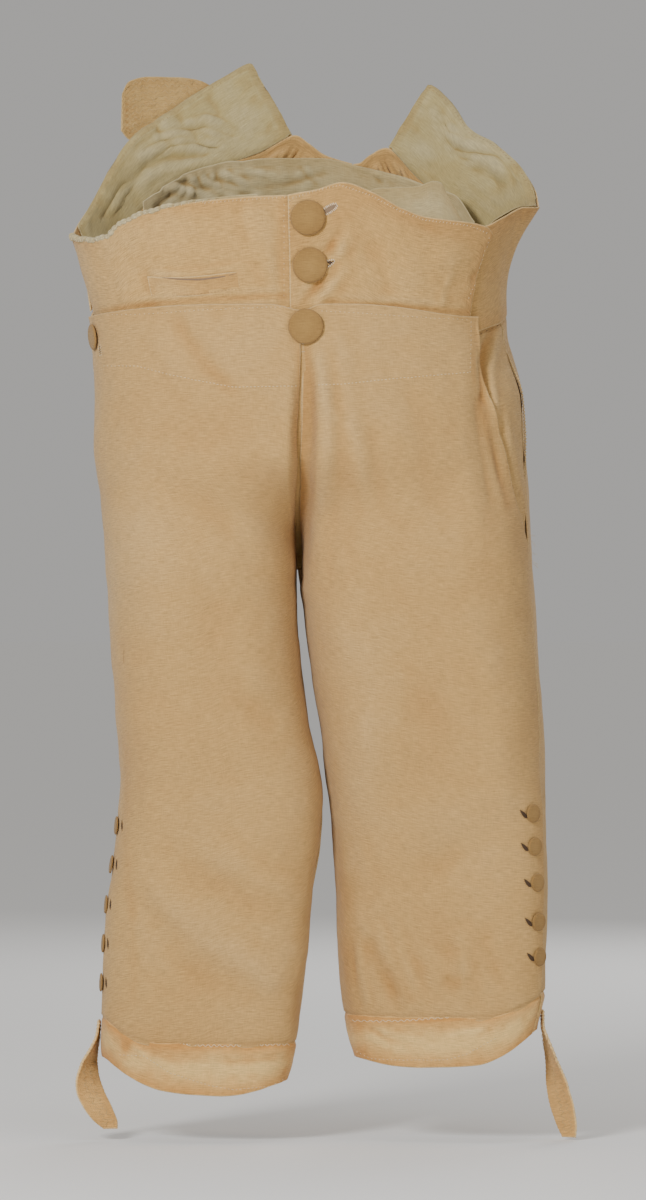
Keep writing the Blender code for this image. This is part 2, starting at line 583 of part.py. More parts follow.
def hem(side, share):
    """The kneeband's lower edge, which hangs lowest at the middle of the front."""
    level, hang, lift = HEM[side]
    front = np.where(share > 0, np.exp(-(((share - HEM_LOWEST_SHARE) / HEM_HANG_WIDTH) ** 2)), 0.0)
    return level + hang * front + lift * (1.0 - ease(*OUTER_RISE, np.abs(share)))


def leg_rows(count, crotch_row):
    """Rows from 0 at the top to 1 at the knee, closer together about the crotch."""
    even = np.linspace(0.0, 1.0, count)
    wave = np.sin(2 * np.pi * (crotch_row - even)) - math.sin(2 * math.pi * crotch_row)
    return even + ROW_BUNCHING * wave / (2 * np.pi)


def front_leg(side, kit):
    """A leg's front with its half of the fall, from the side seam to the front seam and the inseam."""
    low_edge = OUTSEAM[side][0][1] + SHARE_GAP

    def surface(across, along):
        bottom = knee_seam(side, low_edge + across * (1.0 - SHARE_GAP - low_edge)) + SEAM_GAP
        z = fall_top(side, across) + along * (bottom - fall_top(side, across))
        first = outseam(side, z)
        if side == LEFT:
            first = np.maximum(pairs(FALL_EDGE, z) * ease(*FALL_EDGE_END_Z, z), first)
        first = first + SHARE_GAP
        return skin(side, first + across * (1.0 - SHARE_GAP - first), z)

    down = leg_rows(30, 0.36)[:, None]
    points = grids(surface, FRONT_SHARES[None, :], down, from_leg(side))
    return make_wall(side_name("front_leg", side), points, kit["cloth"], kit["parts"])


def side_name(name, side):
    return name + ("_left" if side == LEFT else "_right")


def inward(side, points, depth):
    """Points moved level towards the middle of their leg."""
    away = from_leg(side)(points)
    away[..., 2] = 0.0
    away /= np.linalg.norm(away, axis=-1, keepdims=True)
    return points - away * depth[..., None]


def to_band(side, points, band_share, z_seam):
    """Draw the top of a panel to the lower seam of the back waistband."""
    near = 1.0 - ease(0.0, BAND_DRAW, z_seam - points[..., 2])
    for place, name in enumerate(("low_x", "low_y")):
        seam = read(BACK_BAND[side], BAND_COLUMNS, name, band_share)
        points[..., place] += (seam - points[..., place]) * near
    return points


def back_leg(side, kit):
    """A leg's back with its half of the seat, gathered into the back waistband."""
    low_edge = OUTSEAM[side][0][1] - SHARE_GAP + SLIT_LAP

    def surface(across, along):
        band_share = SIDE_SHARE[side] + across * (VENT_END[side] - SIDE_SHARE[side])
        z_seam = read(BACK_BAND[side], BAND_COLUMNS, "low_z", band_share) - BAND_GAP
        bottom = knee_seam(side, low_edge - across * (1.0 - SHARE_GAP + low_edge)) + SEAM_GAP
        z = z_seam + along * (bottom - z_seam)
        slit = ease(*SLIT_OPENS_Z, z)
        first = outseam(side, z) - SHARE_GAP + SLIT_LAP * slit
        share = first - across * (1.0 - SHARE_GAP + first)
        points = skin(side, share, z)
        edge = outseam(side, z)
        under = ease(*SLIT_STEP_Z, z) * ease(*SLIT_STEP_SHARE, share - edge)
        points = inward(side, points, LAYER * under)
        points = to_band(side, points, band_share, z_seam)
        drop = z_seam - z
        depth = GATHER_DEPTH * ease(0.0, 0.014, drop) * (1 - ease(0.02, GATHER_FADE, drop))
        wave = np.cos(2 * np.pi * (across - GATHER_CREST) / GATHER_PITCH) * ease(*GATHER_FROM, across)
        points[..., 1] += depth * wave * (1 - ease(*GATHER_TO, across))
        return points

    down = leg_rows(28, 0.44)[:, None]
    points = grids(surface, BACK_SHARES[None, :], down, from_leg(side))
    return make_wall(side_name("back_leg", side), points, kit["cloth"], kit["parts"])


def side_piece(kit):
    """The piece behind the fall's free edge on the left, from the waistband down to the pocket's end."""

    def surface(across, along):
        band_share = (SIDE_SHARE[LEFT] - SIDE_SEAM_GAP) * across
        z_seam = read(BACK_BAND_LEFT, BAND_COLUMNS, "low_z", band_share) - BAND_GAP
        z = z_seam + along * (SIDE_PIECE_LOW_Z - z_seam)
        first = pairs(FALL_EDGE, z) + FALL_LAP
        last = outseam(LEFT, z) + 3 * SHARE_GAP
        share = first + across * (last - first)
        under = ease(-0.10, -0.02, share - pairs(FALL_EDGE, z))
        points = inward(LEFT, skin(LEFT, share, z), SIDE_PIECE_INSET * LAYER * under)
        return to_band(LEFT, points, band_share, z_seam)

    across = np.linspace(0, 1, 10)[None, :]
    down = np.linspace(0, 1, 14)[:, None]
    points = grids(surface, across, down, from_leg(LEFT))
    return make_wall("side_piece_left", points, kit["cloth"], kit["parts"])


def front_waistband(side, kit):
    """A front waistband. Its lower end runs on behind the fall, where the fall's buttons are sewn."""
    top = WAIST_TOP_LEFT if side == LEFT else WAIST_TOP_RIGHT
    start_top, start_low, end = FRONT_BAND_SPAN[side]

    def surface(across, along):
        first = start_top + (start_low - start_top) * along
        share = first + across * (end - first)
        z = pairs(top, share)
        return waist_skin(side, share, z + along * (WAIST_LOW_Z - z))

    across = np.linspace(0, 1, 15)[None, :]
    down = np.linspace(0, 1, 9)[:, None]
    behind = 0.0
    if side == RIGHT:
        behind = LAYER * ease(*UNDERLAP, start_top + across * (end - start_top)) + 0 * down
    points = grids(surface, across, down, from_axis, behind=behind)
    return make_wall(side_name("front_waistband", side), points, kit["cloth"], kit["parts"])


def back_waistband(side, kit):
    def surface(share, up):
        return band_skin(side, share, up)

    up = np.linspace(1.0, 0.0, 7)[:, None]
    points = grids(surface, BAND_SHARES[None, :], up, from_axis)
    return make_wall(side_name("back_waistband", side), points, kit["cloth"], kit["parts"])


def back_lining(side, kit):
    """The lining inside a back waistband, with the soft folds it has dried into."""

    def surface(share, up):
        points = band_skin(side, share, up)
        fold = np.maximum(fold_push("lining", points[..., 0], points[..., 2]), 0.0)
        away = from_axis(points)
        away /= np.linalg.norm(away, axis=-1, keepdims=True)
        return points - away * fold[..., None]

    shares = BAND_SHARES[2:]
    up = np.linspace(0.985, 0.02, 10)[:, None]
    points = grids(surface, shares[None, :], up, from_axis, wall=LINING, behind=CLOTH + 2 * SEAM_GAP)
    return make_wall(side_name("back_lining", side), points, kit["lining"], kit["parts"])


def seat_lining(kit):
    """The lining of the seat, which hangs inside the back and stands above the front waistband."""

    def surface(share, along):
        x, y, z = (read(SEAT_LINING, SEAT_LINING_COLUMNS, axis, share) for axis in "xyz")
        z = z - along * SEAT_LINING_DROP
        against = seat_y(x, z) - CLOTH - 1.5 * SEAM_GAP
        against = against - SEAT_LINING_SLACK * ease(*SEAT_LINING_SLACK_X, np.abs(x))
        return np.stack([x, y + (against - y) * ease(0.1, 1.0, along), z], axis=-1)

    across = np.linspace(0, 1, 25)[None, :]
    down = np.linspace(0, 1, 6)[:, None]
    points = grids(surface, across, down, from_axis, wall=LINING)
    return make_wall("seat_lining", points, kit["lining"], kit["parts"])


def front_lining(side, kit):
    """The lining of a front waistband: a rolled edge on the right, a loose flap on the left."""
    first, last = FRONT_LINING_SPAN[side]

    def surface(share, along):
        if side == LEFT:
            top = pairs(FRONT_LINING_TOP, share)
        else:
            top = pairs(WAIST_TOP_RIGHT, share) + FRONT_LINING_STAND
        z = top + along * (FRONT_LINING_LOW_Z[side] - top)
        points = waist_skin(side, share, z)
        lean = FLAP_LEAN * ease(0.0, FLAP_LEAN_RISE, z - FLAP_LEAN_FROM_Z) if side == LEFT else 0.0 * z
        away = from_axis(points)
        away /= np.linalg.norm(away, axis=-1, keepdims=True)
        return points - away * (CLOTH + SEAM_GAP + FRONT_LINING_BEHIND + lean)[..., None]

    across = np.linspace(first, last, 14)[None, :]
    down = np.linspace(0, 1, 5)[:, None]
    points = grids(surface, across, down, from_axis, wall=LINING)
    return make_wall(side_name("front_lining", side), points, kit["lining"], kit["parts"])


def watch_pocket(kit):
    """The welt of the small pocket, laid on the right front waistband."""

    def surface(share, along):
        run = (share - WELT_SPAN[0]) / (WELT_SPAN[1] - WELT_SPAN[0])
        top = WELT_TOP_Z - WELT_SAG * np.sin(np.pi * run) + WELT_RISE * run
        return waist_skin(RIGHT, share, top - along * WELT_HEIGHT)

    across = np.linspace(*WELT_SPAN, 8)[None, :]
    down = np.linspace(0, 1, 3)[:, None]
    points = grids(surface, across, down, from_axis, wall=WELT, behind=-(WELT + SEAM_GAP))
    return make_wall("watch_pocket_welt", points, kit["cloth"], kit["parts"])


def kneeband(side, kit):
    """A kneeband, from the slit's front edge round the front, the inseam and the back to the slit."""
    letter = "l" if side == LEFT else "r"

    def surface(share, along):
        wrapped = share - 2.0 * (share > 1.0)
        top = knee_seam(side, wrapped)
        z = top + along * (hem(side, wrapped) - top)
        x, y = leg_point(side, share, z)
        return np.stack([x, y, z], axis=-1)

    def direction(points):
        z = points[..., 2]
        middle = (read(LEGS, LEG_COLUMNS, "out_" + letter, z) + read(LEGS, LEG_COLUMNS, "in_" + letter, z)) / 2
        return points - np.stack([middle, 0 * z - 0.005, z], axis=-1)

    slit = OUTSEAM[side][0][1]
    front = slit + SHARE_GAP + FRONT_SHARES * (1.0 - 2 * SHARE_GAP - slit)
    back = slit - SHARE_GAP + SLIT_LAP - BACK_SHARES * (1.0 - 2 * SHARE_GAP + slit + SLIT_LAP)
    back = np.concatenate([2.0 + back[back < slit - 0.03][::-1], [2.0 + slit - 0.015]])
    across = np.concatenate([front, back])[None, :]
    down = np.linspace(0, 1, 4)[:, None]
    points = grids(surface, across, down, direction)
    return make_wall(side_name("kneeband", side), points, kit["cloth"], kit["parts"])


def knee_strap(side, kit):
    """A knee strap, which hangs unfastened from the outer end of its kneeband and twists."""
    rows = [dict(zip(STRAP_COLUMNS, row)) for row in STRAPS[side]]
    middle = np.array([(row["x"], row["y"], row["z"]) for row in rows])
    turn = np.radians([row["turn"] for row in rows])
    width = np.stack([np.cos(turn), np.sin(turn), 0 * turn], axis=-1)
    width *= np.array([row["half_width"] for row in rows])[:, None]
    across = np.linspace(-1, 1, 4)
    outer = middle[:, None, :] + width[:, None, :] * across[None, :, None]
    along = np.gradient(outer, axis=0)
    normal = np.cross(np.broadcast_to(width[:, None, :], along.shape), along)
    normal /= np.linalg.norm(normal, axis=-1, keepdims=True)
    points = (outer + normal * STRAP / 2, outer - normal * STRAP / 2)
    return make_wall(side_name("knee_strap", side), points, kit["cloth"], kit["parts"])


def back_tab(kit):
    """The tab outside the right back waistband: sewn on near the vent, its other end stands free."""

    def surface(share, along):
        top = np.stack([read(TAB, BAND_COLUMNS, "top_" + axis, share) for axis in "xyz"], axis=-1)
        low = np.stack([read(TAB, BAND_COLUMNS, "low_" + axis, share) for axis in "xyz"], axis=-1)
        return top + (low - top) * along[..., None]

    across = np.linspace(0, 1, 10)[None, :]
    down = np.linspace(0, 1, 5)[:, None]
    points = grids(surface, across, down, from_axis, wall=STRAP)
    return make_wall("back_tab", points, kit["tab_cloth"], kit["parts"])


def button(name, radius, at, normal, kit, sides):
    """A cloth-covered button: a low dome with a rolled edge, turned about its normal."""
    bm = bmesh.new()
    rings = []
    for r, height in BUTTON_PROFILE:
        turns = [2 * math.pi * i / sides for i in range(sides)]
        ring = [(r * radius * math.cos(a), r * radius * math.sin(a), height * radius) for a in turns]
        rings.append([bm.verts.new(place) for place in ring])
    crown = bm.verts.new((0, 0, BUTTON_CROWN * radius))
    for i in range(sides):
        j = (i + 1) % sides
        bm.faces.new((crown, rings[0][i], rings[0][j]))
        for upper, lower in zip(rings, rings[1:]):
            bm.faces.new((upper[i], lower[i], lower[j], upper[j]))
    bm.faces.new(rings[-1])
    normal = Vector(normal).normalized()
    turn = normal.to_track_quat("Z", "Y").to_matrix().to_4x4()
    bmesh.ops.transform(bm, matrix=Matrix.Translation(Vector(at) + normal * SEAM_GAP) @ turn, verts=bm.verts)
    return finish(name, bm, kit["button"], kit["parts"])


def skin_at(side, share, z, out):
    """A point of the outer skin and its outward normal."""
    step = 0.002
    at = skin(side, share, z)
    over = skin(side, share + step, z) - skin(side, share - step, z)
    along = skin(side, share, z + step) - skin(side, share, z - step)
    normal = np.cross(over, along)
    normal /= np.linalg.norm(normal)
    return at, normal * np.sign(np.dot(normal, out(at)))


def buttons(kit):
    for count, (x, z) in enumerate(WAIST_BUTTONS, 1):
        at = waist_skin(LEFT, 1.0, z)
        button(f"waist_button_{count}", WAIST_BUTTON_R, (x, at[1], z), (0, -1, 0), kit, WAIST_BUTTON_SIDES)
    at = skin(LEFT, 0.985, FALL_BUTTON_Z)
    middle = (0.0, at[1] - SEAM_GAP, FALL_BUTTON_Z)
    button("fall_button_middle", WAIST_BUTTON_R, middle, (0, -1, 0), kit, WAIST_BUTTON_SIDES)
    at, normal = skin_at(RIGHT, CORNER_BUTTON_SHARE, CORNER_BUTTON_Z, from_axis)
    button("fall_button_right", CORNER_BUTTON_R, at, normal, kit, CORNER_BUTTON_SIDES)
    for side in (RIGHT, LEFT):
        for count, z in enumerate(KNEE_BUTTON_Z[side], 1):
            share = KNEE_BUTTON_SHARE[side][count - 1]
            at, normal = skin_at(side, share, z, from_leg(side))
            name = side_name("knee_button", side) + f"_{count}"
            button(name, KNEE_BUTTON_R, at, normal, kit, KNEE_BUTTON_SIDES)


def main():
    clear_scene()
    collection = bpy.data.collections.new("knee_breeches")
    bpy.context.scene.collection.children.link(collection)
    kit = make_materials()
    kit["parts"] = collection
    for side in (RIGHT, LEFT):
        front_leg(side, kit)
        back_leg(side, kit)
        front_waistband(side, kit)
        back_waistband(side, kit)
        back_lining(side, kit)
        front_lining(side, kit)
        kneeband(side, kit)
        knee_strap(side, kit)
    side_piece(kit)
    seat_lining(kit)
    watch_pocket(kit)
    back_tab(kit)
    buttons(kit)


main()
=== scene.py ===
# %% [markdown]
# Knee breeches of about 1790, of buff linen, shown as they hang when worn.
# The imported part gives every node its place. Each cell dresses one of them: a thin sheet of cloth is
# worked out on the same sections as its solid, given its folds, and sewn down with real threads.
# We keep the part's own box: the floor is laid just under it, and it is printed at the end.

# %% Load the imported part
import math

import bpy
import numpy as np
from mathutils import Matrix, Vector
from mathutils.bvhtree import BVHTree


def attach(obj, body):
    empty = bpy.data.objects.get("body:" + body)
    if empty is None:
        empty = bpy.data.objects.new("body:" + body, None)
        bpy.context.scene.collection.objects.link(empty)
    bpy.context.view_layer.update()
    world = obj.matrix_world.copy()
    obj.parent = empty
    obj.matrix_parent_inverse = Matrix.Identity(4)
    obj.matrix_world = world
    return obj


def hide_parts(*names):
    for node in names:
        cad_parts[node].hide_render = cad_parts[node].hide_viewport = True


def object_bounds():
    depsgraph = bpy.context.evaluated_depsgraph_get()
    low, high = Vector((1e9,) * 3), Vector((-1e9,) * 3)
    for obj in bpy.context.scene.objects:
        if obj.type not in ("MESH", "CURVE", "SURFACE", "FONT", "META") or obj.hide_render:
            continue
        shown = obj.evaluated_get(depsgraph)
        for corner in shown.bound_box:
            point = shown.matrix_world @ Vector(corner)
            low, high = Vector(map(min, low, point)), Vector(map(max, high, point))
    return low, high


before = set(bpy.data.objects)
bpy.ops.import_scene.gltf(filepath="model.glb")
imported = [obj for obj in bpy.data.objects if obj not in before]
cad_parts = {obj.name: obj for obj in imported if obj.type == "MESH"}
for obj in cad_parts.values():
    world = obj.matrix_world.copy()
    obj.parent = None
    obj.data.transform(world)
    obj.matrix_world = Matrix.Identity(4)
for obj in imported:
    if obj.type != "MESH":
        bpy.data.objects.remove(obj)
solid_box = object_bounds()
print(len(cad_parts), "nodes in the packed part")

# %% [markdown]
# The photograph is taken from about 5 m away, level with the legs, with a long lens.
# A lens of 200 mm at that distance shows 0.9 m of height, so one of the photograph's pixels is 0.75 mm
# at the front of the garment. The helper turns a place in the photograph into a line of sight, so that a
# seam or a stitch read from it can be laid on the cloth it meets.

# %% Camera
EYE = Vector((0.01275, -5.05, -0.2625))
PIXEL = 0.00075
FRONT_Y = -0.05
ORIGIN_PX, ORIGIN_PY = 306, 250  # the pixel of the photograph that shows the origin

camera = bpy.data.objects.new("camera", bpy.data.cameras.new("camera"))
bpy.context.scene.collection.objects.link(camera)
camera.location = EYE
camera.rotation_euler = (math.radians(90), 0, 0)
camera.data.lens = 200
camera.data.sensor_width = 36
bpy.context.scene.camera = camera


def sight(px, py):
    """The place that a pixel of the photograph shows in the plane FRONT_Y."""
    return Vector(((px - ORIGIN_PX) * PIXEL, FRONT_Y, (ORIGIN_PY - py) * PIXEL))


def seen(px, py, y):
    """The same place carried along the line of sight to another depth."""
    return EYE + (sight(px, py) - EYE) * ((y - EYE.y) / (FRONT_Y - EYE.y))


print("one pixel is", PIXEL * 1000, "mm at the front")

# %% [markdown]
# Smooth curves through a short table of named values give every section of the garment.
# The curve used here is monotone: it never swings past its values, so no edge bulges where none is.

# %% Curves through tables
RIGHT, LEFT = -1, 1  # the wearer's sides; the right one has negative X


def ease(start, end, at):
    """0 before start, 1 after end, and a smooth step between them."""
    share = np.clip((np.asarray(at, float) - start) / (end - start), 0.0, 1.0)
    return share * share * (3.0 - 2.0 * share)


def curve(keys, values, at):
    """A smooth curve through some values that never overshoots them."""
    keys, values = np.asarray(keys, float), np.asarray(values, float)
    rise = np.diff(values) / np.diff(keys)
    before, after = rise[:-1], rise[1:]
    same_way = before * after > 0
    total = np.where(same_way, before + after, 1.0)
    inner = np.where(same_way, 2.0 * before * after / total, 0.0)
    slopes = np.concatenate([rise[:1], inner, rise[-1:]])
    at = np.clip(np.asarray(at, float), keys[0], keys[-1])
    low = np.clip(np.searchsorted(keys, at) - 1, 0, len(keys) - 2)
    width = keys[low + 1] - keys[low]
    t = (at - keys[low]) / width
    return (
        values[low] * (2 * t**3 - 3 * t**2 + 1)
        + values[low + 1] * (3 * t**2 - 2 * t**3)
        + slopes[low] * width * (t**3 - 2 * t**2 + t)
        + slopes[low + 1] * width * (t**3 - t**2)
    )


def table(lines):
    """Rows of numbers, typed one row to a line."""
    return [[float(part) for part in line.split()] for line in lines.strip().splitlines()]


def pairs(rows, at, place=1):
    """A column of a table, the second one if none is named, read at values of its first column."""
    return curve([row[0] for row in rows], [row[place] for row in rows], at)


def read(rows, columns, name, at):
    """One named column of a table, read at values of its first column."""
    return pairs(rows, at, columns.index(name))


def bent(value, squareness):
    """A sine or cosine, bent so that the section through it is a squarish ellipse."""
    return np.sign(value) * np.abs(value) ** (2.0 / squareness)


print("half-way up a step:", ease(0.0, 1.0, 0.5), "and a fifth of the way:", ease(0.0, 1.0, 0.2).round(3))

# %% [markdown]
# The body of the breeches is one squarish oval at each level, and each leg is another.
# A share runs round it: 0 at the side, 1 at the front seam and -1 at the seat seam.
# Below the waist the two forms melt into each other as the garment divides at the crotch.

# %% Sections of the body and the legs
# Cloth and sewing
CLOTH = 0.0015  # twill or linen with its turnings
LINING = 0.0011
STRAP = 0.0022
SEAM_GAP = 0.0004  # left between two pieces at a seam
BAND_GAP = 0.0017  # the same where a panel is gathered into the back waistband
LAYER = 0.0023  # from one layer's outer skin to the next one's behind it
# Levels
CROTCH_Z = -0.240
FRONT_RISE_Z = -0.150  # the front seam starts to turn under here
SEAT_RISE_Z = -0.110  # the seat seam starts to turn under here
SLIT_TOP_Z = -0.400  # the buttoned slit at each knee
# How square the sections are: 2 is an ellipse
BODY_SQUARENESS = 2.3
LEG_SQUARENESS = 2.7
BODY_COLUMNS = ("z", "out_r", "out_l", "side_y", "front_y", "back_y", "front_seam_x", "back_seam_x")
BODY = table("""
-0.3 -0.1484 0.1759 0.004 -0.088 0.086 -0.0066 -0.0066
-0.24 -0.1519 0.1723 0.006 -0.092 0.1 -0.0066 -0.0066
-0.201 -0.1549 0.1693 0.007 -0.095 0.112 -0.0064 -0.0052
-0.171 -0.158 0.1673 0.008 -0.096 0.12 -0.0058 -0.004
-0.141 -0.1605 0.1658 0.008 -0.096 0.124 -0.0052 -0.002
-0.11 -0.1605 0.1637 0.008 -0.095 0.124 -0.004 0
-0.078 -0.162 0.1587 0.008 -0.094 0.121 -0.003 0.004
-0.043 -0.165 0.1511 0.008 -0.092 0.116 -0.003 0.01
0.003 -0.164 0.1506 0.008 -0.09 0.11 -0.002 0.019
0.042 -0.1625 0.15 0.008 -0.088 0.106 -0.001 0.029
0.072 -0.1615 0.149 0.008 -0.087 0.103 -0.001 0.0361
""")
LEG_COLUMNS = ("z", "out_r", "in_r", "out_l", "in_l", "mid_y", "half_depth", "twist_r", "twist_l")
LEGS = table("""
-0.664 -0.1444 -0.0274 0.1553 0.0524 -0.006 0.039 0.01 -0.01
-0.638 -0.1505 -0.0183 0.1643 0.0443 -0.006 0.04 0.01 -0.01
-0.613 -0.1545 -0.0107 0.169 0.0372 -0.005 0.041 0.011 -0.012
-0.588 -0.1555 -0.0062 0.174 0.0307 -0.005 0.043 0.012 -0.014
-0.55 -0.1545 -0.0016 0.181 0.0251 -0.005 0.046 0.012 -0.014
-0.489 -0.1505 0.0044 0.1825 0.0226 -0.005 0.051 0.011 -0.013
-0.444 -0.1444 0.0105 0.1823 0.0201 -0.004 0.056 0.009 -0.01
-0.416 -0.1419 0.0122 0.1815 0.018 -0.004 0.06 0.007 -0.008
-0.398 -0.1409 0.0108 0.181 0.015 -0.003 0.063 0.005 -0.006
-0.368 -0.1424 0.0044 0.18 0.0115 -0.002 0.069 0.003 -0.003
-0.338 -0.1449 -0.0001 0.1785 0.0075 0 0.075 0.002 -0.002
-0.307 -0.1474 -0.0042 0.176 0.0029 0.002 0.081 0.001 -0.001
-0.27 -0.1494 -0.007 0.1739 -0.0021 0.004 0.087 0 0
-0.24 -0.1515 -0.007 0.1719 -0.0062 0.006 0.092 0 0
-0.15 -0.159 -0.007 0.166 -0.0062 0.008 0.1 0 0
-0.05 -0.165 -0.007 0.1512 -0.0062 0.008 0.104 0 0
""")
# The front seam lies in a valley between the legs' fronts
VALLEY_WIDTH = {RIGHT: 0.008, LEFT: 0.017}
VALLEY_DEPTH = 0.016
VALLEY_TOP_Z, VALLEY_FULL_Z = -0.072, -0.150
print(len(BODY), "levels of the body and", len(LEGS), "of the legs")

# %% [markdown]
# A mesh is made of points, so the tables become functions: given a side, a share and a height, they
# answer with a place on the cloth's outer face. An ellipse would be too round for a body and a box too
# square, so the sine and cosine are bent to something between the two.

# %% Skin of the garment below the waist
LETTER = {RIGHT: "r", LEFT: "l"}


def body_at(name, z):
    return read(BODY, BODY_COLUMNS, name, z)


def body_point(side, share, z):
    """A point of the body's section. share is 0 at the side, 1 at the front seam, -1 at the seat seam."""
    front = share >= 0.0
    x_out, side_y = body_at("out_" + LETTER[side], z), body_at("side_y", z)
    front_seam = body_at("front_seam_x", z)
    x_seam = np.where(front, front_seam, body_at("back_seam_x", z))
    far_y = np.where(front, body_at("front_y", z), body_at("back_y", z))
    turn = np.abs(share) * math.pi / 2
    x = x_seam + (x_out - x_seam) * bent(np.cos(turn), BODY_SQUARENESS)
    y = side_y + (far_y - side_y) * bent(np.sin(turn), BODY_SQUARENESS)
    valley_depth = VALLEY_DEPTH * ease(VALLEY_TOP_Z, VALLEY_FULL_Z, z)
    near_seam = 1.0 - ease(0.0, VALLEY_WIDTH[side], np.abs(x - front_seam))
    return x, y + np.where(front, valley_depth * near_seam, 0.0)


def leg_width(side, z):
    """Where the middle of a leg lies, and how far it reaches to either side."""
    x_out, x_in = (read(LEGS, LEG_COLUMNS, name + LETTER[side], z) for name in ("out_", "in_"))
    return (x_out + x_in) / 2, (x_out - x_in) / 2


def leg_point(side, share, z):
    """A point of the leg's section. share is 0 at the outer side and 1 or -1 at the inner one."""
    middle, reach = leg_width(side, z)
    across = bent(np.cos(share * math.pi), LEG_SQUARENESS)
    depth = bent(np.sin(share * math.pi), LEG_SQUARENESS)
    y = read(LEGS, LEG_COLUMNS, "mid_y", z) - read(LEGS, LEG_COLUMNS, "half_depth", z) * depth
    return middle + reach * across, y + read(LEGS, LEG_COLUMNS, "twist_" + LETTER[side], z) * across


def skin(side, share, z):
    """The garment's outer skin below the waist, as an array of points."""
    share, z = np.broadcast_arrays(np.asarray(share, float), np.asarray(z, float))
    body_x, body_y = body_point(side, share, z)
    leg_x, leg_y = leg_point(side, share, z)
    rise = np.where(share >= 0, ease(FRONT_RISE_Z, CROTCH_Z, z), ease(SEAT_RISE_Z, CROTCH_Z, z))
    return np.stack([body_x + (leg_x - body_x) * rise, body_y + (leg_y - body_y) * rise, z], axis=-1)


print("front of the body at the fall:", skin(RIGHT, 0.5, -0.1).round(3))

# %% [markdown]
# Above the fall the two front waistbands and the two tall back ones stand round the waist.
# The front ones are read like the body. A back one is ruled from its lower seam up to its top edge.

# %% Sections of the waist
# The front waistbands' sections: below the fall's edge they lie one layer inside the body's
WAIST_COLUMNS = ("z", "out_r", "out_l", "side_y", "front_y")
WAIST = table("""
-0.085 -0.1585 0.156 0.009 -0.091
-0.062 -0.1595 0.1525 0.009 -0.09
-0.045 -0.1615 0.148 0.009 -0.089
-0.03 -0.1655 0.149 0.01 -0.089
-0.015 -0.17 0.152 0.011 -0.0892
0 -0.174 0.156 0.012 -0.0895
0.014 -0.1785 0.162 0.013 -0.09
0.05 -0.186 0.17 0.014 -0.0905
""")
WAIST_LOW_Z = -0.076
# A front waistband's outer end at its top and its lower edge, and its inner end, as shares
FRONT_BAND_SPAN = {RIGHT: (-0.025, -0.046, 1.075), LEFT: (0.344, 0.415, 1.0355)}
UNDERLAP = (0.905, 0.955)  # the shares between which the right one steps behind the left one
# Top edges by the share of the way from the side to the front
WAIST_TOP_RIGHT = (
    (-0.06, 0.0150), (0.06, 0.0115), (0.31, 0.0078), (0.385, 0.0096), (0.43, 0.0150),
    (0.485, 0.0204), (0.607, 0.0285), (0.747, 0.0346), (0.971, 0.0388), (1.10, 0.0388),
)
WAIST_TOP_LEFT = (
    (0.33, 0.0085), (0.362, 0.0140), (0.40, 0.0175), (0.476, 0.0198), (0.576, 0.0214),
    (0.665, 0.0232), (0.750, 0.0295), (0.842, 0.0412), (0.924, 0.0485), (0.985, 0.0428),
    (1.040, 0.0388),
)
# The back waistbands, from the side round to the vent at a share of 1. Past it only the columns of the
# lower seam count: they give the seat's own edge, down to the bottom of the vent.
BAND_COLUMNS = ("share", "top_x", "top_y", "top_z", "low_x", "low_y", "low_z")
BACK_BAND_RIGHT = table("""
0 -0.1789 0.02 0.0136 -0.1645 0.02 -0.0435
0.12 -0.1757 0.036 0.0224 -0.1611 0.034 -0.033
0.26 -0.1635 0.058 0.0432 -0.1533 0.05 -0.0078
0.4 -0.1477 0.079 0.0737 -0.1378 0.07 0.0224
0.53 -0.1323 0.093 0.0954 -0.1166 0.084 0.0478
0.66 -0.1118 0.105 0.1098 -0.0929 0.093 0.063
0.8 -0.0857 0.115 0.1287 -0.0622 0.099 0.0719
0.9 -0.0656 0.121 0.1408 -0.0344 0.101 0.0813
1 -0.0424 0.125 0.1528 -0.0097 0.102 0.0937
1.1 -0.03 0.125 0.15 0.0011 0.103 0.088
1.2 -0.02 0.125 0.15 0.0135 0.103 0.079
1.28 -0.01 0.125 0.15 0.0243 0.103 0.075
1.36 0 0.125 0.15 0.0355 0.103 0.0718
""")
BACK_BAND_LEFT = table("""
0 0.1176 -0.056 0.0161 0.1116 -0.054 -0.0602
0.09 0.1344 -0.043 0.0184 0.1261 -0.044 -0.0613
0.18 0.1491 -0.027 0.0261 0.1393 -0.027 -0.0568
0.27 0.1648 -0.007 0.0344 0.1489 -0.007 -0.0522
0.35 0.1776 0.016 0.0361 0.1525 0.014 -0.0453
0.45 0.1769 0.04 0.0459 0.15 0.035 -0.0261
0.56 0.1669 0.063 0.0665 0.1407 0.059 -0.0004
0.68 0.1467 0.084 0.0879 0.1243 0.079 0.0229
0.8 0.1255 0.099 0.1013 0.1053 0.09 0.0436
0.9 0.1102 0.108 0.1236 0.0845 0.096 0.0625
1 0.0941 0.113 0.1363 0.0622 0.099 0.0839
1.1 0.085 0.113 0.1363 0.0506 0.101 0.079
1.2 0.075 0.113 0.1363 0.0413 0.103 0.0726
1.25 0.07 0.113 0.1363 0.0361 0.103 0.0716
""")
BACK_BAND = {RIGHT: BACK_BAND_RIGHT, LEFT: BACK_BAND_LEFT}
BAND_DIP = {RIGHT: 0.003, LEFT: 0.009}  # how far the side bows in, half-way up
BAND_DIP_SHARE = {RIGHT: 0.10, LEFT: 0.35}
VENT_END = {RIGHT: 1.36, LEFT: 1.25}
SIDE_SHARE = {RIGHT: 0.0, LEFT: 0.27}  # the band's share at the side seam
SIDE_SEAM_GAP = 0.008  # the seam there, as a share of the band
BAND_DIP_WIDTH = 0.16


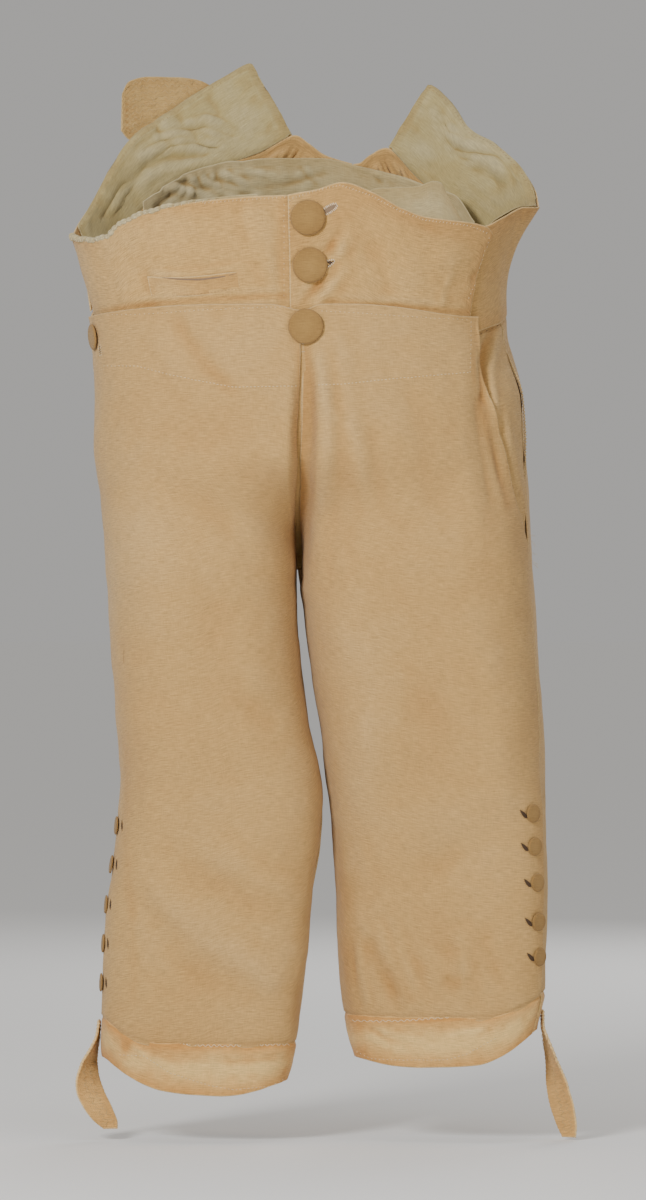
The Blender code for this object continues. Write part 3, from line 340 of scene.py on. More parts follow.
def waist_skin(side, share, z):
    """The front waistbands' outer skin."""
    share, z = np.broadcast_arrays(np.asarray(share, float), np.asarray(z, float))
    names = ("out_" + LETTER[side], "side_y", "front_y")
    x_out, side_y, front_y = (read(WAIST, WAIST_COLUMNS, name, z) for name in names)
    x = x_out * bent(np.cos(share * math.pi / 2), BODY_SQUARENESS)
    y = side_y + (front_y - side_y) * bent(np.sin(share * math.pi / 2), BODY_SQUARENESS)
    return np.stack([x, y, z], axis=-1)


def band_edges(rows, share):
    """The top edge and the lower seam of a back waistband, or of its tab, at some shares."""
    return [
        np.stack([read(rows, BAND_COLUMNS, edge + axis, share) for axis in "xyz"], axis=-1)
        for edge in ("top_", "low_")
    ]


def band_skin(side, share, up):
    """A back waistband's outer skin. up runs from the lower seam at 0 to the top edge at 1."""
    share, up = np.broadcast_arrays(np.asarray(share, float), np.asarray(up, float))
    top, low = band_edges(BACK_BAND[side], share)
    points = low + (top - low) * up[..., None]
    bow = BAND_DIP[side] * np.sin(np.pi * np.clip(up, 0, 1))
    points[..., 0] -= side * bow * np.exp(-(((share - BAND_DIP_SHARE[side]) / BAND_DIP_WIDTH) ** 2))
    return points


print("the right peak stands at", band_skin(RIGHT, 1.0, 1.0).round(3))

# %% [markdown]
# A sheet has two faces, and a mesh doesn't know by itself which of them is the outer one. These helpers
# say which way is out of the body or of a leg, so that folds swell the right way and a lower layer can be
# moved in under an upper one.

# %% Which way is out
AXIS_Y = 0.010  # where the upright line through the waist's middle stands
LEG_AXIS_Y, KNEE_AXIS_Y = 0.005, -0.005  # the same for a leg and for a kneeband


def unit(vectors):
    """Vectors, each brought to a length of 1."""
    return vectors / np.linalg.norm(vectors, axis=-1, keepdims=True)


def from_axis(points):
    """Outwards from the upright axis through the waist's middle."""
    away = points - np.array([0.0, AXIS_Y, 0.0])
    away[..., 2] = 0.0
    return away


def from_leg(side, y=LEG_AXIS_Y):
    """Outwards from the middle of one leg, and above it from the middle of that half of the body."""
    def direction(points):
        z = points[..., 2]
        return points - np.stack([leg_width(side, z)[0], 0 * z + y, z], axis=-1)

    return direction


def inward(side, points, depth):
    """Points moved level towards the middle of their leg."""
    away = from_leg(side)(points)
    away[..., 2] = 0.0
    return points - unit(away) * depth[..., None]


print("out from the front of the waist:", unit(from_axis(waist_skin(LEFT, 1.0, 0.0))).round(2))

# %% [markdown]
# A material is a tree of nodes joined by links, and a long list of links is hard to read. A few helpers
# keep each tree short: one adds a node, one opens a node group with named sockets, one does a sum with
# numbers or sockets, and one adds the swings of a noise to a running total.

# %% Shader helpers
def put(tree, kind, values=None, **settings):
    """A new node with its settings, and the values of its sockets by name or number."""
    node = tree.nodes.new(kind)
    for name, value in settings.items():
        setattr(node, name, value)
    for key, value in (values or {}).items():
        node.inputs[key].default_value = value
    return node


def group(name, inputs, outputs):
    """An empty node group with named number or colour sockets."""
    tree = bpy.data.node_groups.new(name, "ShaderNodeTree")
    for label, (kind, value) in inputs.items():
        socket = tree.interface.new_socket(label, in_out="INPUT", socket_type=kind)
        socket.default_value = value
    for label, kind in outputs.items():
        tree.interface.new_socket(label, in_out="OUTPUT", socket_type=kind)
    return tree, tree.nodes.new("NodeGroupInput").outputs, tree.nodes.new("NodeGroupOutput").inputs


def maths(tree, operation, *operands):
    """One Math node. Each operand is a number or another node's socket."""
    node = put(tree, "ShaderNodeMath", operation=operation)
    for place, operand in enumerate(operands):
        if isinstance(operand, bpy.types.NodeSocket):
            tree.links.new(operand, node.inputs[place])
        else:
            node.inputs[place].default_value = operand
    return node.outputs[0]


def add_noise(tree, place, values, strength, total):
    """A noise's swings about nought, scaled and added to a total."""
    noise = put(tree, "ShaderNodeTexNoise", values)
    tree.links.new(place, noise.inputs["Vector"])
    return maths(tree, "MULTIPLY_ADD", maths(tree, "SUBTRACT", noise.outputs["Fac"], 0.5), strength, total)


FLOAT, COLOUR = "NodeSocketFloat", "NodeSocketColor"

print("a node group's sockets are of the kinds", FLOAT, "and", COLOUR)

# %% [markdown]
# Linen of that time is spun by hand, so its threads swell and thin out: each row shows soft slubs, long
# and low, most of them along the weft. The weave itself is a plain over-and-under of half a millimetre.
# Both could be drawn with images, but a node group that reads each sheet's own measure along and down
# the cloth keeps the threads straight with the grain, whatever way the piece hangs.

# %% Weave of the linen
# How far each noise is stretched along the sheet's two measures, its detail, and how strong it is
SLUBS = (((130, 1250, 1), 1.0, 1.9), ((1150, 150, 1), 1.0, 0.80), ((30, 560, 1), 2.0, 0.22))
SLUB_ROUGHNESS = 0.6
KNOT_HEIGHT, KNOT_TINT = 0.28, 0.05  # how much of the weave shows in the bump and in the colour


def make_weave():
    tree, given, result = group(
        "hand-spun weave",
        {"Thread": (FLOAT, 0.00055), "Slub": (FLOAT, 1.0), "Weave": (FLOAT, 1.0)},
        {"Height": FLOAT, "Tint": FLOAT},
    )
    grain = put(tree, "ShaderNodeAttribute", attribute_name="grain").outputs["Vector"]
    split = put(tree, "ShaderNodeSeparateXYZ")
    tree.links.new(grain, split.inputs[0])
    turns = maths(tree, "DIVIDE", math.pi, given["Thread"])
    over, under = (maths(tree, "SINE",
        maths(tree, "MULTIPLY", split.outputs[axis], turns)) for axis in "XY")
    knots = maths(tree, "MULTIPLY", maths(tree, "MULTIPLY", over, under), given["Weave"])
    slub = 0.0
    for stretch, detail, strength in SLUBS:
        longer = put(tree, "ShaderNodeVectorMath", {1: stretch}, operation="MULTIPLY")
        tree.links.new(grain, longer.inputs[0])
        values = {"Scale": 1.0, "Detail": detail, "Roughness": SLUB_ROUGHNESS}
        slub = add_noise(tree, longer.outputs[0], values, strength, slub)
    slub = maths(tree, "MULTIPLY", slub, given["Slub"])
    for label, strength in (("Height", KNOT_HEIGHT), ("Tint", KNOT_TINT)):
        tree.links.new(maths(tree, "MULTIPLY_ADD", knots, strength, slub), result[label])
    return tree


WEAVE = make_weave()
print("weave sockets:", [socket.name for socket in WEAVE.interface.items_tree])

# %% [markdown]
# Two centuries have changed the colour more in some places than in others: the cloth is browner in loose
# clouds where it has been damp. The same group also paints light and shade. Painted shade browns the
# hollows and the cloth for some way in from edges and seams, with a little real soil there. A painted
# highlight lightens ridges and turned edges, with a little real rubbing. One group reads the sheet's own
# distance from its edge and its folds, adds the clouds, and mixes three colours of the same cloth.

# %% Ageing and painted shade of the cloth
CLOUDS = ((9.0, 4.0, 0.55, 2.2), (60.0, 3.0, 0.60, 0.5))  # scale, detail, roughness and strength
# Painted shade reaches 17 mm in from an edge; the lip, its outermost 1.25 mm, is painted pale as a highlight
EDGE_FADE, LIP_FADE = 60.0, 800.0  # the edge is browner for 17 mm, and its outermost 1.25 mm is the lip
# How strongly the folds paint shade into hollows and a highlight onto ridges, and how strongly the lip swaps
# painted shade for highlight
CREASE_SHADE, CREASE_HIGHLIGHT = -0.85, 0.35
LIP_BROWN, LIP_HIGHLIGHT = -1.4, 1.3
CLOUD_PALE = -0.9
TINT_DEPTH = 0.42


def make_age_and_shade():
    tree, given, result = group(
        "ageing and painted shade of the cloth",
        {
            "Cloth": (COLOUR, (0.45, 0.31, 0.17, 1)),
            "Brown": (COLOUR, (0.36, 0.20, 0.09, 1)),
            "Pale": (COLOUR, (0.56, 0.43, 0.27, 1)),
            "Clouds": (FLOAT, 0.5),
            "Edge": (FLOAT, 0.5),
            "Lip": (FLOAT, 1.0),
            "Tint": (FLOAT, 0.0),
        },
        {"Colour": COLOUR},
    )
    place = put(tree, "ShaderNodeTexCoord").outputs["Object"]
    crease, edge = (
        put(tree, "ShaderNodeAttribute", attribute_name=name).outputs["Fac"] for name in ("crease", "edge")
    )
    near, lip = (
        maths(tree, "MAXIMUM", maths(tree, "SUBTRACT", 1.0, maths(tree, "MULTIPLY", edge, fade)), 0.0)
        for fade in (EDGE_FADE, LIP_FADE)
    )
    cloud = 0.0
    for scale, detail, roughness, strength in CLOUDS:
        values = {"Scale": scale, "Detail": detail, "Roughness": roughness}
        cloud = add_noise(tree, place, values, strength, cloud)
    cloud = maths(tree, "MULTIPLY", cloud, given["Clouds"])
    lip = maths(tree, "MULTIPLY", lip, given["Lip"])
    # Painted shade: browner in the folds' hollows and near edges and seams. Painted highlight: paler on
    # ridges and at the lip.
    brown = maths(tree, "MULTIPLY_ADD", crease, CREASE_SHADE, cloud)
    brown = maths(tree, "MULTIPLY_ADD", near, given["Edge"], brown)
    brown = maths(tree, "MULTIPLY_ADD", lip, LIP_BROWN, brown)
    pale = maths(tree, "MULTIPLY_ADD", cloud, CLOUD_PALE, maths(tree, "MULTIPLY", crease, CREASE_HIGHLIGHT))
    pale = maths(tree, "MULTIPLY_ADD", lip, LIP_HIGHLIGHT, pale)
    colour = given["Cloth"]
    for amount, other in ((brown, "Brown"), (pale, "Pale")):
        held = maths(tree, "MINIMUM", maths(tree, "MAXIMUM", amount, 0.0), 1.0)
        mix = put(tree, "ShaderNodeMix", data_type="RGBA")
        tree.links.new(held, mix.inputs["Factor"])
        tree.links.new(colour, mix.inputs["A"])
        tree.links.new(given[other], mix.inputs["B"])
        colour = mix.outputs["Result"]
    scale = put(tree, "ShaderNodeVectorMath", operation="SCALE")
    tree.links.new(colour, scale.inputs[0])
    tree.links.new(maths(tree, "MULTIPLY_ADD", given["Tint"], TINT_DEPTH, 1.0), scale.inputs["Scale"])
    tree.links.new(scale.outputs[0], result["Colour"])
    return tree


AGE_AND_SHADE = make_age_and_shade()
print("ageing sockets:", [socket.name for socket in AGE_AND_SHADE.interface.items_tree])

# %% [markdown]
# Each finish is the same recipe with its own values: the weave gives a fine bump and a little tint, the
# ageing group gives the colour with its painted shade and highlight, and a faint sheen stands for the
# fibres that stand off old linen.
# One material for all pieces would be simpler, but the bands, the linings, the knees and the straps have
# each been rubbed and soiled in a way of their own, and the knees' cloth is painted lighter for the
# brighter light that falls there.

# %% Finishes
# edge is how much painted shade browns the cloth near its edges and seams; lip sets the painted highlight of
# the turned edge
FINISH_COLUMNS = ("cloth", "brown", "pale", "clouds", "edge", "lip", "slub", "weave", "thread", "bump")
FINISHES = {
    "cloth": (
        (0.455, 0.272, 0.091), (0.375, 0.192, 0.052), (0.530, 0.362, 0.165),
        0.50, 0.16, 0.9, 0.95, 1.0, 0.00055, 0.24,
    ),
    "band cloth": (
        (0.475, 0.282, 0.090), (0.380, 0.190, 0.050), (0.560, 0.385, 0.170),
        0.65, 0.45, 0.9, 1.15, 1.0, 0.00055, 0.24,
    ),
    "tab_cloth": (
        (0.400, 0.255, 0.088), (0.280, 0.150, 0.045), (0.540, 0.395, 0.190),
        1.00, 0.30, 0.5, 0.9, 1.2, 0.00070, 0.28,
    ),
    "lining": (
        (0.405, 0.325, 0.165), (0.310, 0.210, 0.080), (0.490, 0.425, 0.262),
        0.85, 0.45, 0.2, 0.8, 1.0, 0.00060, 0.18,
    ),
    "peak lining": (
        (0.330, 0.255, 0.105), (0.270, 0.175, 0.055), (0.420, 0.365, 0.215),
        0.95, 0.30, 0.4, 0.8, 1.0, 0.00060, 0.18,
    ),
    "button": (
        (0.350, 0.205, 0.058), (0.210, 0.105, 0.025), (0.410, 0.262, 0.092),
        0.30, 0.60, 0.0, 0.7, 1.5, 0.00050, 0.30,
    ),
    # painted lighter than the legs, for the brighter light that falls on the knees
    "knee cloth painted lighter": (
        (0.640, 0.415, 0.145), (0.480, 0.230, 0.056), (0.710, 0.500, 0.210),
        0.60, 1.00, 0.4, 0.9, 1.1, 0.00055, 0.26,
    ),
    "strap cloth": (
        (0.610, 0.365, 0.120), (0.450, 0.215, 0.055), (0.700, 0.530, 0.280),
        0.95, 0.35, 0.6, 1.0, 1.4, 0.00075, 0.30,
    ),
}


OLD_LINEN = {"Roughness": 0.92, "Specular IOR Level": 0.25, "Sheen Weight": 0.12, "Sheen Roughness": 0.6}


def new_material(name, values):
    """A material, its node tree and its Principled shader with the values of that shader's sockets."""
    made = bpy.data.materials.new(name)
    made.use_nodes = True
    shader = made.node_tree.nodes["Principled BSDF"]
    for label, value in values.items():
        shader.inputs[label].default_value = value
    return made, made.node_tree, shader


def bumped(tree, height, shader, strength, distance):
    """Let a height tip the shader's normal."""
    bump = put(tree, "ShaderNodeBump", {"Strength": strength, "Distance": distance})
    tree.links.new(height, bump.inputs["Height"])
    tree.links.new(bump.outputs["Normal"], shader.inputs["Normal"])


def make_finish(name):
    values = dict(zip(FINISH_COLUMNS, FINISHES[name]))
    made, tree, shader = new_material(name, OLD_LINEN)
    weave = put(tree, "ShaderNodeGroup", node_tree=WEAVE)
    age_and_shade = put(tree, "ShaderNodeGroup", node_tree=AGE_AND_SHADE)
    for node, labels in ((weave, ("Thread", "Slub", "Weave")), (age_and_shade, ("Clouds", "Edge", "Lip"))):
        for label in labels:
            node.inputs[label].default_value = values[label.lower()]
    for label in ("Cloth", "Brown", "Pale"):
        age_and_shade.inputs[label].default_value = (*values[label.lower()], 1)
    tree.links.new(weave.outputs["Tint"], age_and_shade.inputs["Tint"])
    tree.links.new(age_and_shade.outputs["Colour"], shader.inputs["Base Color"])
    bumped(tree, weave.outputs["Height"], shader, 1.0, values["bump"] / 1000)
    return made


FINISH = {name: make_finish(name) for name in FINISHES}
print("finishes:", ", ".join(FINISH))

# %% [markdown]
# A sewing thread is two twisted strands a fifth of a millimetre thick. At that size a fine noise that
# darkens and raises it reads as twist, and modelling the strands would only cost faces. The same recipe,
# nearly black or dark brown, is painted shadow, laid inside an open slit or a pocket's mouth.

# %% Threads and shadow
THREAD_DARK = 0.72  # the darker fibres' share of the thread's colour


def make_thread(name, colour):
    made, tree, shader = new_material(name, {"Roughness": 0.85})
    place = put(tree, "ShaderNodeTexCoord").outputs["Object"]
    fibres = put(tree, "ShaderNodeTexNoise", {"Scale": 700.0, "Detail": 2.0})
    tree.links.new(place, fibres.inputs["Vector"])
    mix = put(tree, "ShaderNodeMix", data_type="RGBA")
    mix.inputs["A"].default_value = (*[c * THREAD_DARK for c in colour], 1)
    mix.inputs["B"].default_value = (*colour, 1)
    tree.links.new(fibres.outputs["Fac"], mix.inputs["Factor"])
    tree.links.new(mix.outputs["Result"], shader.inputs["Base Color"])
    bumped(tree, fibres.outputs["Fac"], shader, 0.6, 0.00008)
    return made


THREAD = make_thread("linen thread", (0.74, 0.60, 0.38))
BROWN_THREAD = make_thread("old brown thread", (0.30, 0.18, 0.08))
# Painted shadow: dark sheets laid where a slit or a pocket's mouth shows only shade
SLIT_SHADOW = make_thread("painted shadow inside a slit", (0.060, 0.030, 0.012))
SHADE = make_thread("shaded cloth in a slit", (0.22, 0.14, 0.08))
PALE_THREAD = make_thread("pale buttonhole thread", (0.74, 0.66, 0.54))
PIPING = make_thread("folded edge of the pocket", (0.55, 0.37, 0.16))
TAB_THREAD = make_thread("quilting thread", (0.50, 0.34, 0.15))
print("threads:", THREAD.name, BROWN_THREAD.name)

# %% [markdown]
# A fold in hanging cloth is a soft ridge or trough that is deepest somewhere along its run and fades at
# both ends. It could come from a simulation, but these folds are particular ones, set by two hundred
# years in one position, so each is listed one by one: a few points, a half width, and a depth in
# millimetres.
# Each line of the lists is one fold: its half width, its depth (above nought for a ridge), and its
# points, all but the depth in pixels of the photograph.

# %% Folds of the fall and the legs
CREASES = {}


def folds(lines):
    """Folds typed one to a line: half width, depth, and x,y for each point."""
    rows = []
    for line in lines.strip().splitlines():
        if not line.startswith("#"):
            half_width, depth, *points = line.split()
            rows.append((float(half_width), float(depth), path(" ".join(points))))
    return rows


def path(points):
    """Points typed as x,y with spaces between them."""
    return [tuple(float(part) for part in point.split(",")) for point in points.split()]


CREASES["front"] = folds("""
# the fall
9 -1.5  172,318 188,340 208,368 232,392
13 1.6  150,330 172,362 196,392
24 -1.6  120,420 200,445 285,430
6 1  318,362 330,420 332,500
9 1.6  340,340 352,420 372,520
16 -1.3  395,350 420,420 440,520
12 1.3  466,340 464,420 478,520
20 1.5  200,470 250,520 290,560
14 -1.4  150,480 220,520 280,600
# thighs and legs
30 2  150,560 170,700 150,820
26 -2.2  215,620 250,700 300,760
18 1.8  232,640 262,690 300,730
14 2.4  150,890 200,935 270,985
18 -2.4  130,905 180,965 240,1005
16 -1.8  170,860 230,900 300,940
12 1.6  205,850 250,880 305,905
22 2  340,620 370,720 360,820
26 -2  400,640 430,720 480,800
20 1.8  480,620 500,700 500,790
8 2  460,940 461,965 464,992
7 -1.8  450,935 451,962 452,990
10 1.8  381,940 396,975 412,1008
9 -1.7  370,950 386,985 398,1012
7 1.3  430,960 436,985 438,1010
10 -1.4  485,930 490,960 500,985
22 -2.2  360,900 420,880 500,830
# the side behind the fall's free edge, with its forked fold
5 -2.8  494,326 487,341 484,360 485,398
6 2  500,332 494,352 493,380 497,420
5 -2.2  486,395 495,440 503,480 511,505
6 1.7  505,400 511,440 518,480
6 -1.4  478,400 484,450 492,500
# the facings of the fall
2.5 0.35  104,364 137,364 167,372 211,381 232,385 297,384
2.5 0.35  319,383 344,382 389,377 450,372
# the left leg just above its kneeband
4 -1  384,922 397,965 412,1005
3.5 0.9  393,922 407,965 422,1002
3 -0.8  352,945 355,980 360,1012
3 0.7  359,945 363,980 369,1010
3 -0.7  434,948 443,975 453,996
3 0.7  442,944 451,972 461,992
""")
CREASES["valley"] = folds("""
9 -4.6  300,335 306,372 308,410 308,450 306,490 303,530 299,575
8 1.6  318,360 326,410 326,450 322,500 314,550
""")
print(len(CREASES["front"]), "folds of the fall and the legs")

# %% [markdown]
# A stain is laid in the same way as a fold, but only the colour reads it: the cloth is browner there and
# lies as flat as before. Most of these lines are painted shade: down the valley of the front seam, under
# the fall's edges, in the hollows of folds and down the sides of the legs where they turn away. The rest
# are stains.

# %% Stains and painted shade of the fall and the legs
# Each darkens the cloth along its line: painted shade in the seam's valley, under an edge, in a fold's
# hollow or down a leg's turning side
CREASES["front stain"] = folds("""
7 -0.6  337,836 343,930 350,1015
8 -0.5  420,970 450,985 480,990
9 -0.5  380,985 410,1000 440,1003
8 -1  302,340 308,380 309,430 308,470 304,510 300,560
4 -1  501,318 495,328 487,354 484,371 484,387 482,402 486,421 492,452 501,486 507,505
3.5 -0.7  474,336 474,374 481,402
1.5 -0.4  104,366 137,366 167,374 211,383 232,387 297,386
1.5 -0.4  319,385 344,384 389,379 450,374 472,373
5 -0.4  126,850 130,930 132,1005
3 -0.7  299,350 301,400 301,460 299,520
7 -0.35  478,330 490,400 506,480 520,560
5 -0.3  123,700 124,800 122,900
2 -0.6  459,945 460,965 461,990
5 -0.4  375,930 392,975 410,1005
16 -0.45  350,930 372,960 400,985
10 -0.45  302,900 300,980 295,1040
10 -0.5  345,880 349,960 354,1018
7 -0.35  535,780 545,860 548,980
24 -0.25  160,985 220,1000 280,1015
14 -0.25  180,330 205,370 240,400
""")
print(sum(len(CREASES[face]) for face in ("front stain",)), "more are laid")

# %% [markdown]
# A band is held flat by its lining and its sewing, so it has only short, strained folds: between the two
# waist buttons, at the hips and round the knees.

# %% Folds, stains and painted shade of the bands
CREASES["knee"] = folds("""
3 0.9  190,1055 230,1058 285,1053
3 -1  186,1061 235,1065 288,1060
3.5 -1  130,1038 150,1053 182,1066
3 0.9  126,1046 146,1061 172,1074
3 -0.8  200,1074 226,1080 256,1078
3 -1  360,1030 385,1042 412,1052
3 0.9  364,1037 390,1050 420,1056
3.5 -1  438,1030 470,1027 502,1013
3 0.9  440,1037 475,1034 506,1019
2.5 -0.8  388,1030 416,1036 440,1046
""")
# Mostly painted shade: at the kneebands' turning ends and along the seams above them
CREASES["knee stain"] = folds("""
5 -1  123,1018 125,1040 122,1058
6 -0.5  290,1044 292,1060 286,1080
7 -0.5  357,1022 358,1040 362,1058
2 -0.5  124,1026 148,1040 188,1048 290,1047
2 -0.5  353,1025 400,1025 465,1020 518,1000
""")
# The first three troughs, under the fall's top edge and beside the left band's overlapping end, paint shade
# there in their hollows
CREASES["band"] = folds("""
4 -0.9  100,308 146,304 200,300 270,297 285,297
4 -0.9  318,301 360,305 400,307 440,310 475,312
5 -0.8  282,198 282,250 281,305
3 0.8  150,272 175,274 200,274 240,267
11 1.3  108,250 118,275 128,305
9 -1.4  135,262 146,282 150,308
8 -0.9  236,215 245,245 262,290
6 0.9  262,215 270,250 276,300
6 -1.8  338,232 330,248 316,262
6 1.3  346,240 336,258 322,275
6 -1.9  334,264 322,280 303,303
6 1.3  343,272 330,288 318,303
14 -1.6  366,240 384,270 392,300
18 1.4  405,270 440,262 478,246
10 -0.9  398,210 430,226 470,240
5 0.8  450,275 445,290 442,305
5 2.4  506,240 499,262 478,284
6 -2  497,240 489,262 475,276
5 -1.2  520,236 512,262 504,300
""")
# Mostly painted shade: beside the left band's overlapping end, down the hip's fold and under the fall's top
# edge
CREASES["band stain"] = folds("""
6 -0.7  284,196 284,250 283,306
7 -0.8  497,234 490,262 480,284 474,306
3 -0.5  318,300 360,304 400,306 470,311
3 -0.5  100,308 146,303 200,299 290,296
16 -0.35  300,235 340,215 372,205
""")
print(sum(len(CREASES[face]) for face in ("knee", "knee stain", "band", "band stain")), "more are laid")

# %% [markdown]
# The linings are of a thinner linen that has dried into sharp folds of its own, and the seat's lining is
# drawn up in gathers. Their folds are narrower, and deeper for their width, than those of the cloth.

# %% Folds and stains of the linings
CREASES["lining"] = folds("""
8 -3.4  127,196 143,172 165,163 200,160
8 3.2  136,186 160,172 187,168 222,166
6 2  128,178 142,158 168,150 204,150
8 1.4  160,118 172,134 184,152
6 -1.4  176,118 192,136 206,152
7 1.2  196,112 212,132 226,150
6 -1.2  205,96 222,118 242,142
8 1.1  226,86 240,108 262,130
5 -1.2  150,118 160,140 170,150
5 -2.2  447,140 455,149 472,154 498,160
5 2  452,134 466,146 490,152
5 -2  456,156 468,161 484,163
7 2.2  470,160 494,165 514,178
6 -1.8  478,172 496,182 508,198
6 1.4  430,100 436,120 440,140
5 -1.2  500,160 512,176 520,196
10 1.6  404,130 420,150 440,168
3.5 1.6  140,150 156,140 176,136 200,138
3 -1.6  152,158 170,148 192,146 216,150
3 1.3  186,124 204,120 226,126
3 -1.2  180,132 204,128 232,138
3 1.3  108,218 118,200 128,188
3 -1.3  100,222 110,204 120,186
2.5 -1.4  446,124 450,132 460,138
""")
CREASES["lining stain"] = folds("""
26 -0.6  248,82 272,112 290,134
14 -0.45  428,95 410,126 396,146
10 -0.35  130,150 150,128 180,112
8 -0.45  500,200 512,180 520,172
""")
CREASES["seat lining"] = folds("""
3 -2  186,178 188,186 184,196
3.5 2.2  200,174 204,182 214,188 236,194
3 -2.2  194,190 212,188 232,192 252,196
3 1.6  224,170 228,178 246,184
2.5 1.6  372,164 376,172 384,180
2.5 -1.4  300,164 306,176 316,184
4 3  127,203 140,194 151,188 164,196
4 -3.4  158,212 161,206 172,196 184,188
5 3.2  162,204 177,191 196,194 214,202
3 -2.2  176,182 192,186 197,196
4 2.2  152,186 174,179 192,182 196,192
2.5 -1.6  215,170 217,178 222,186
3 -1.4  208,184 222,180 240,186
4 1.2  224,176 246,172 284,176
2.5 -1.8  370,158 373,168 380,182
3 1.2  352,166 384,176 420,184
4 -1.2  250,190 290,184 330,172
""")
print(sum(len(CREASES[face]) for face in ("lining", "lining stain", "seat lining")), "more are laid")

# %% [markdown]
# The photograph hides the back, so its folds are the sort that such a seat takes: full ones that hang
# from the hips to the crotch, short ones behind each knee, and a few that run in to the kneebands.
# These points and half widths are in metres, as there is nothing to read them from.

# %% Folds of the seat and the back of the legs
BACK_CREASES = folds("""
0.02 4.5  -0.125,-0.18 -0.08,-0.2 -0.02,-0.225
0.016 -3.6  -0.115,-0.215 -0.07,-0.24 -0.025,-0.262
0.02 4.5  0.13,-0.185 0.07,-0.205 0.01,-0.232
0.016 -3.6  0.12,-0.222 0.07,-0.245 0.02,-0.268
0.012 2.2  -0.1,-0.262 -0.055,-0.28 -0.02,-0.284
0.012 2.2  0.11,-0.262 0.065,-0.282 0.025,-0.29
0.016 3.4  -0.12,-0.424 -0.075,-0.412 -0.025,-0.395
0.012 -2.6  -0.118,-0.45 -0.08,-0.444 -0.035,-0.42
0.016 3.4  0.055,-0.402 0.1,-0.412 0.155,-0.432
0.012 -2.6  0.06,-0.43 0.1,-0.446 0.15,-0.458
0.014 -2  -0.09,-0.3 -0.098,-0.35 -0.085,-0.4
0.014 2  0.11,-0.3 0.118,-0.35 0.105,-0.395
0.009 2  -0.11,-0.545 -0.105,-0.57 -0.1,-0.592
0.008 -1.8  -0.07,-0.54 -0.068,-0.57 -0.066,-0.59
0.009 2  0.09,-0.53 0.094,-0.555 0.096,-0.574
0.008 -1.8  0.13,-0.525 0.128,-0.55 0.128,-0.572
0.02 -2.4  -0.06,-0.11 -0.05,-0.15 -0.02,-0.19
0.02 -2.4  0.07,-0.11 0.056,-0.15 0.02,-0.19
""")


print(len(BACK_CREASES), "folds of the back")

# %% [markdown]
# A fold's section is a rounded ridge that is steeper on one side and throws up a low bank beside itself.
# Its depth swells along its run. The cloth between the folds isn't smooth either: waves of many lengths
# and directions, added up, give the shallow dents of washed linen.

# %% How a fold is laid
# The depth Y at which each face's folds are read, and how much stronger than read they are laid
FACES = {
    "front": (-0.09, 1.55),
    "valley": (-0.09, 1.0),
    "band": (-0.085, 1.5),
    "knee": (-0.075, 1.2),
    "lining": (0.09, 1.05),
    "seat lining": (0.08, 1.15),
}
# The faces whose own lines paint shade as well as stains
STAIN_AND_SHADE_FACES = ("front", "band", "knee", "lining")  # faces with stains of their own
for stain_and_shade_face in STAIN_AND_SHADE_FACES:
    FACES[stain_and_shade_face + " stain"] = (FACES[stain_and_shade_face][0], 1.0)
SWELL, SWELL_TURNS, SWELL_SHIFT = 0.25, 9.0, 2.1  # the depth swells along a fold, in each one otherwise
FADE_START, FADE_RUN, FADE_POWER = 0.12, 0.76, 0.7  # and fades at both ends
STEEP_SIDE = 0.8  # how wide the steeper side is, against the other
BANK, BANK_AT = 0.28, 1.9  # how high the bank beside a fold is, and how many half widths off
OCTAVES, WAVES = 3, 5  # sizes of dents, each half the last one, and waves of each size


def crease_lines(face):
    """The folds of one face, each as points in metres, a half width and a depth."""
    if face == "back":
        return [(np.array(points), half_width, depth / 1000) for half_width, depth, points in BACK_CREASES]
    y, strength = FACES[face]
    lines = []
    for half_width, depth, points in CREASES[face]:
        places = [seen(px, py, y) for px, py in points]
        lines.append((np.array([(p.x, p.z) for p in places]), half_width * PIXEL, depth / 1000 * strength))
    return lines


def relief(face, x, z):
    """How far the folds push the cloth of one face out at each place."""
    total = np.zeros_like(x)
    for count, (points, half_width, depth) in enumerate(crease_lines(face)):
        runs = np.diff(points, axis=0)
        lengths = np.linalg.norm(runs, axis=1)
        before = np.concatenate([[0], np.cumsum(lengths)])
        nearest = np.full(x.shape, np.inf)
        side = np.zeros_like(x)
        along = np.zeros_like(x)
        for start, run, length, passed in zip(points, runs, lengths, before):
            dx, dz = x - start[0], z - start[1]
            t = np.clip((dx * run[0] + dz * run[1]) / length**2, 0, 1)
            ox, oz = dx - t * run[0], dz - t * run[1]
            away = np.hypot(ox, oz)
            closer = away < nearest
            nearest = np.where(closer, away, nearest)
            side = np.where(closer, np.sign(run[0] * oz - run[1] * ox), side)
            along = np.where(closer, (passed + t * length) / before[-1], along)
        swell = 1 - SWELL + SWELL * np.sin(SWELL_TURNS * along + SWELL_SHIFT * count)
        fade = np.sin(np.pi * np.clip(FADE_START + FADE_RUN * along, 0, 1)) ** FADE_POWER
        t = nearest / half_width
        steep = np.where(side > 0, 1.0, STEEP_SIDE)
        shape = np.exp(-((t / steep) ** 2)) - BANK * np.exp(-((t - BANK_AT) ** 2)) * (side > 0)
        total += depth * swell * fade * shape
    return total


def crumple(points, size, depth, seed):
    """Shallow dents in no order, as in any washed linen."""
    chance = np.random.default_rng(seed)
    total = np.zeros(points.shape[:-1])
    for octave in range(OCTAVES):
        ways = unit(chance.normal(size=(WAVES, 3)))
        for way, start in zip(ways, chance.uniform(0, 2 * np.pi, WAVES)):
            total += 0.5**octave / WAVES * np.sin(points @ way * 2 * np.pi * 2**octave / size + start)
    return depth * total


print("faces with folds:", ", ".join(CREASES), "and back")

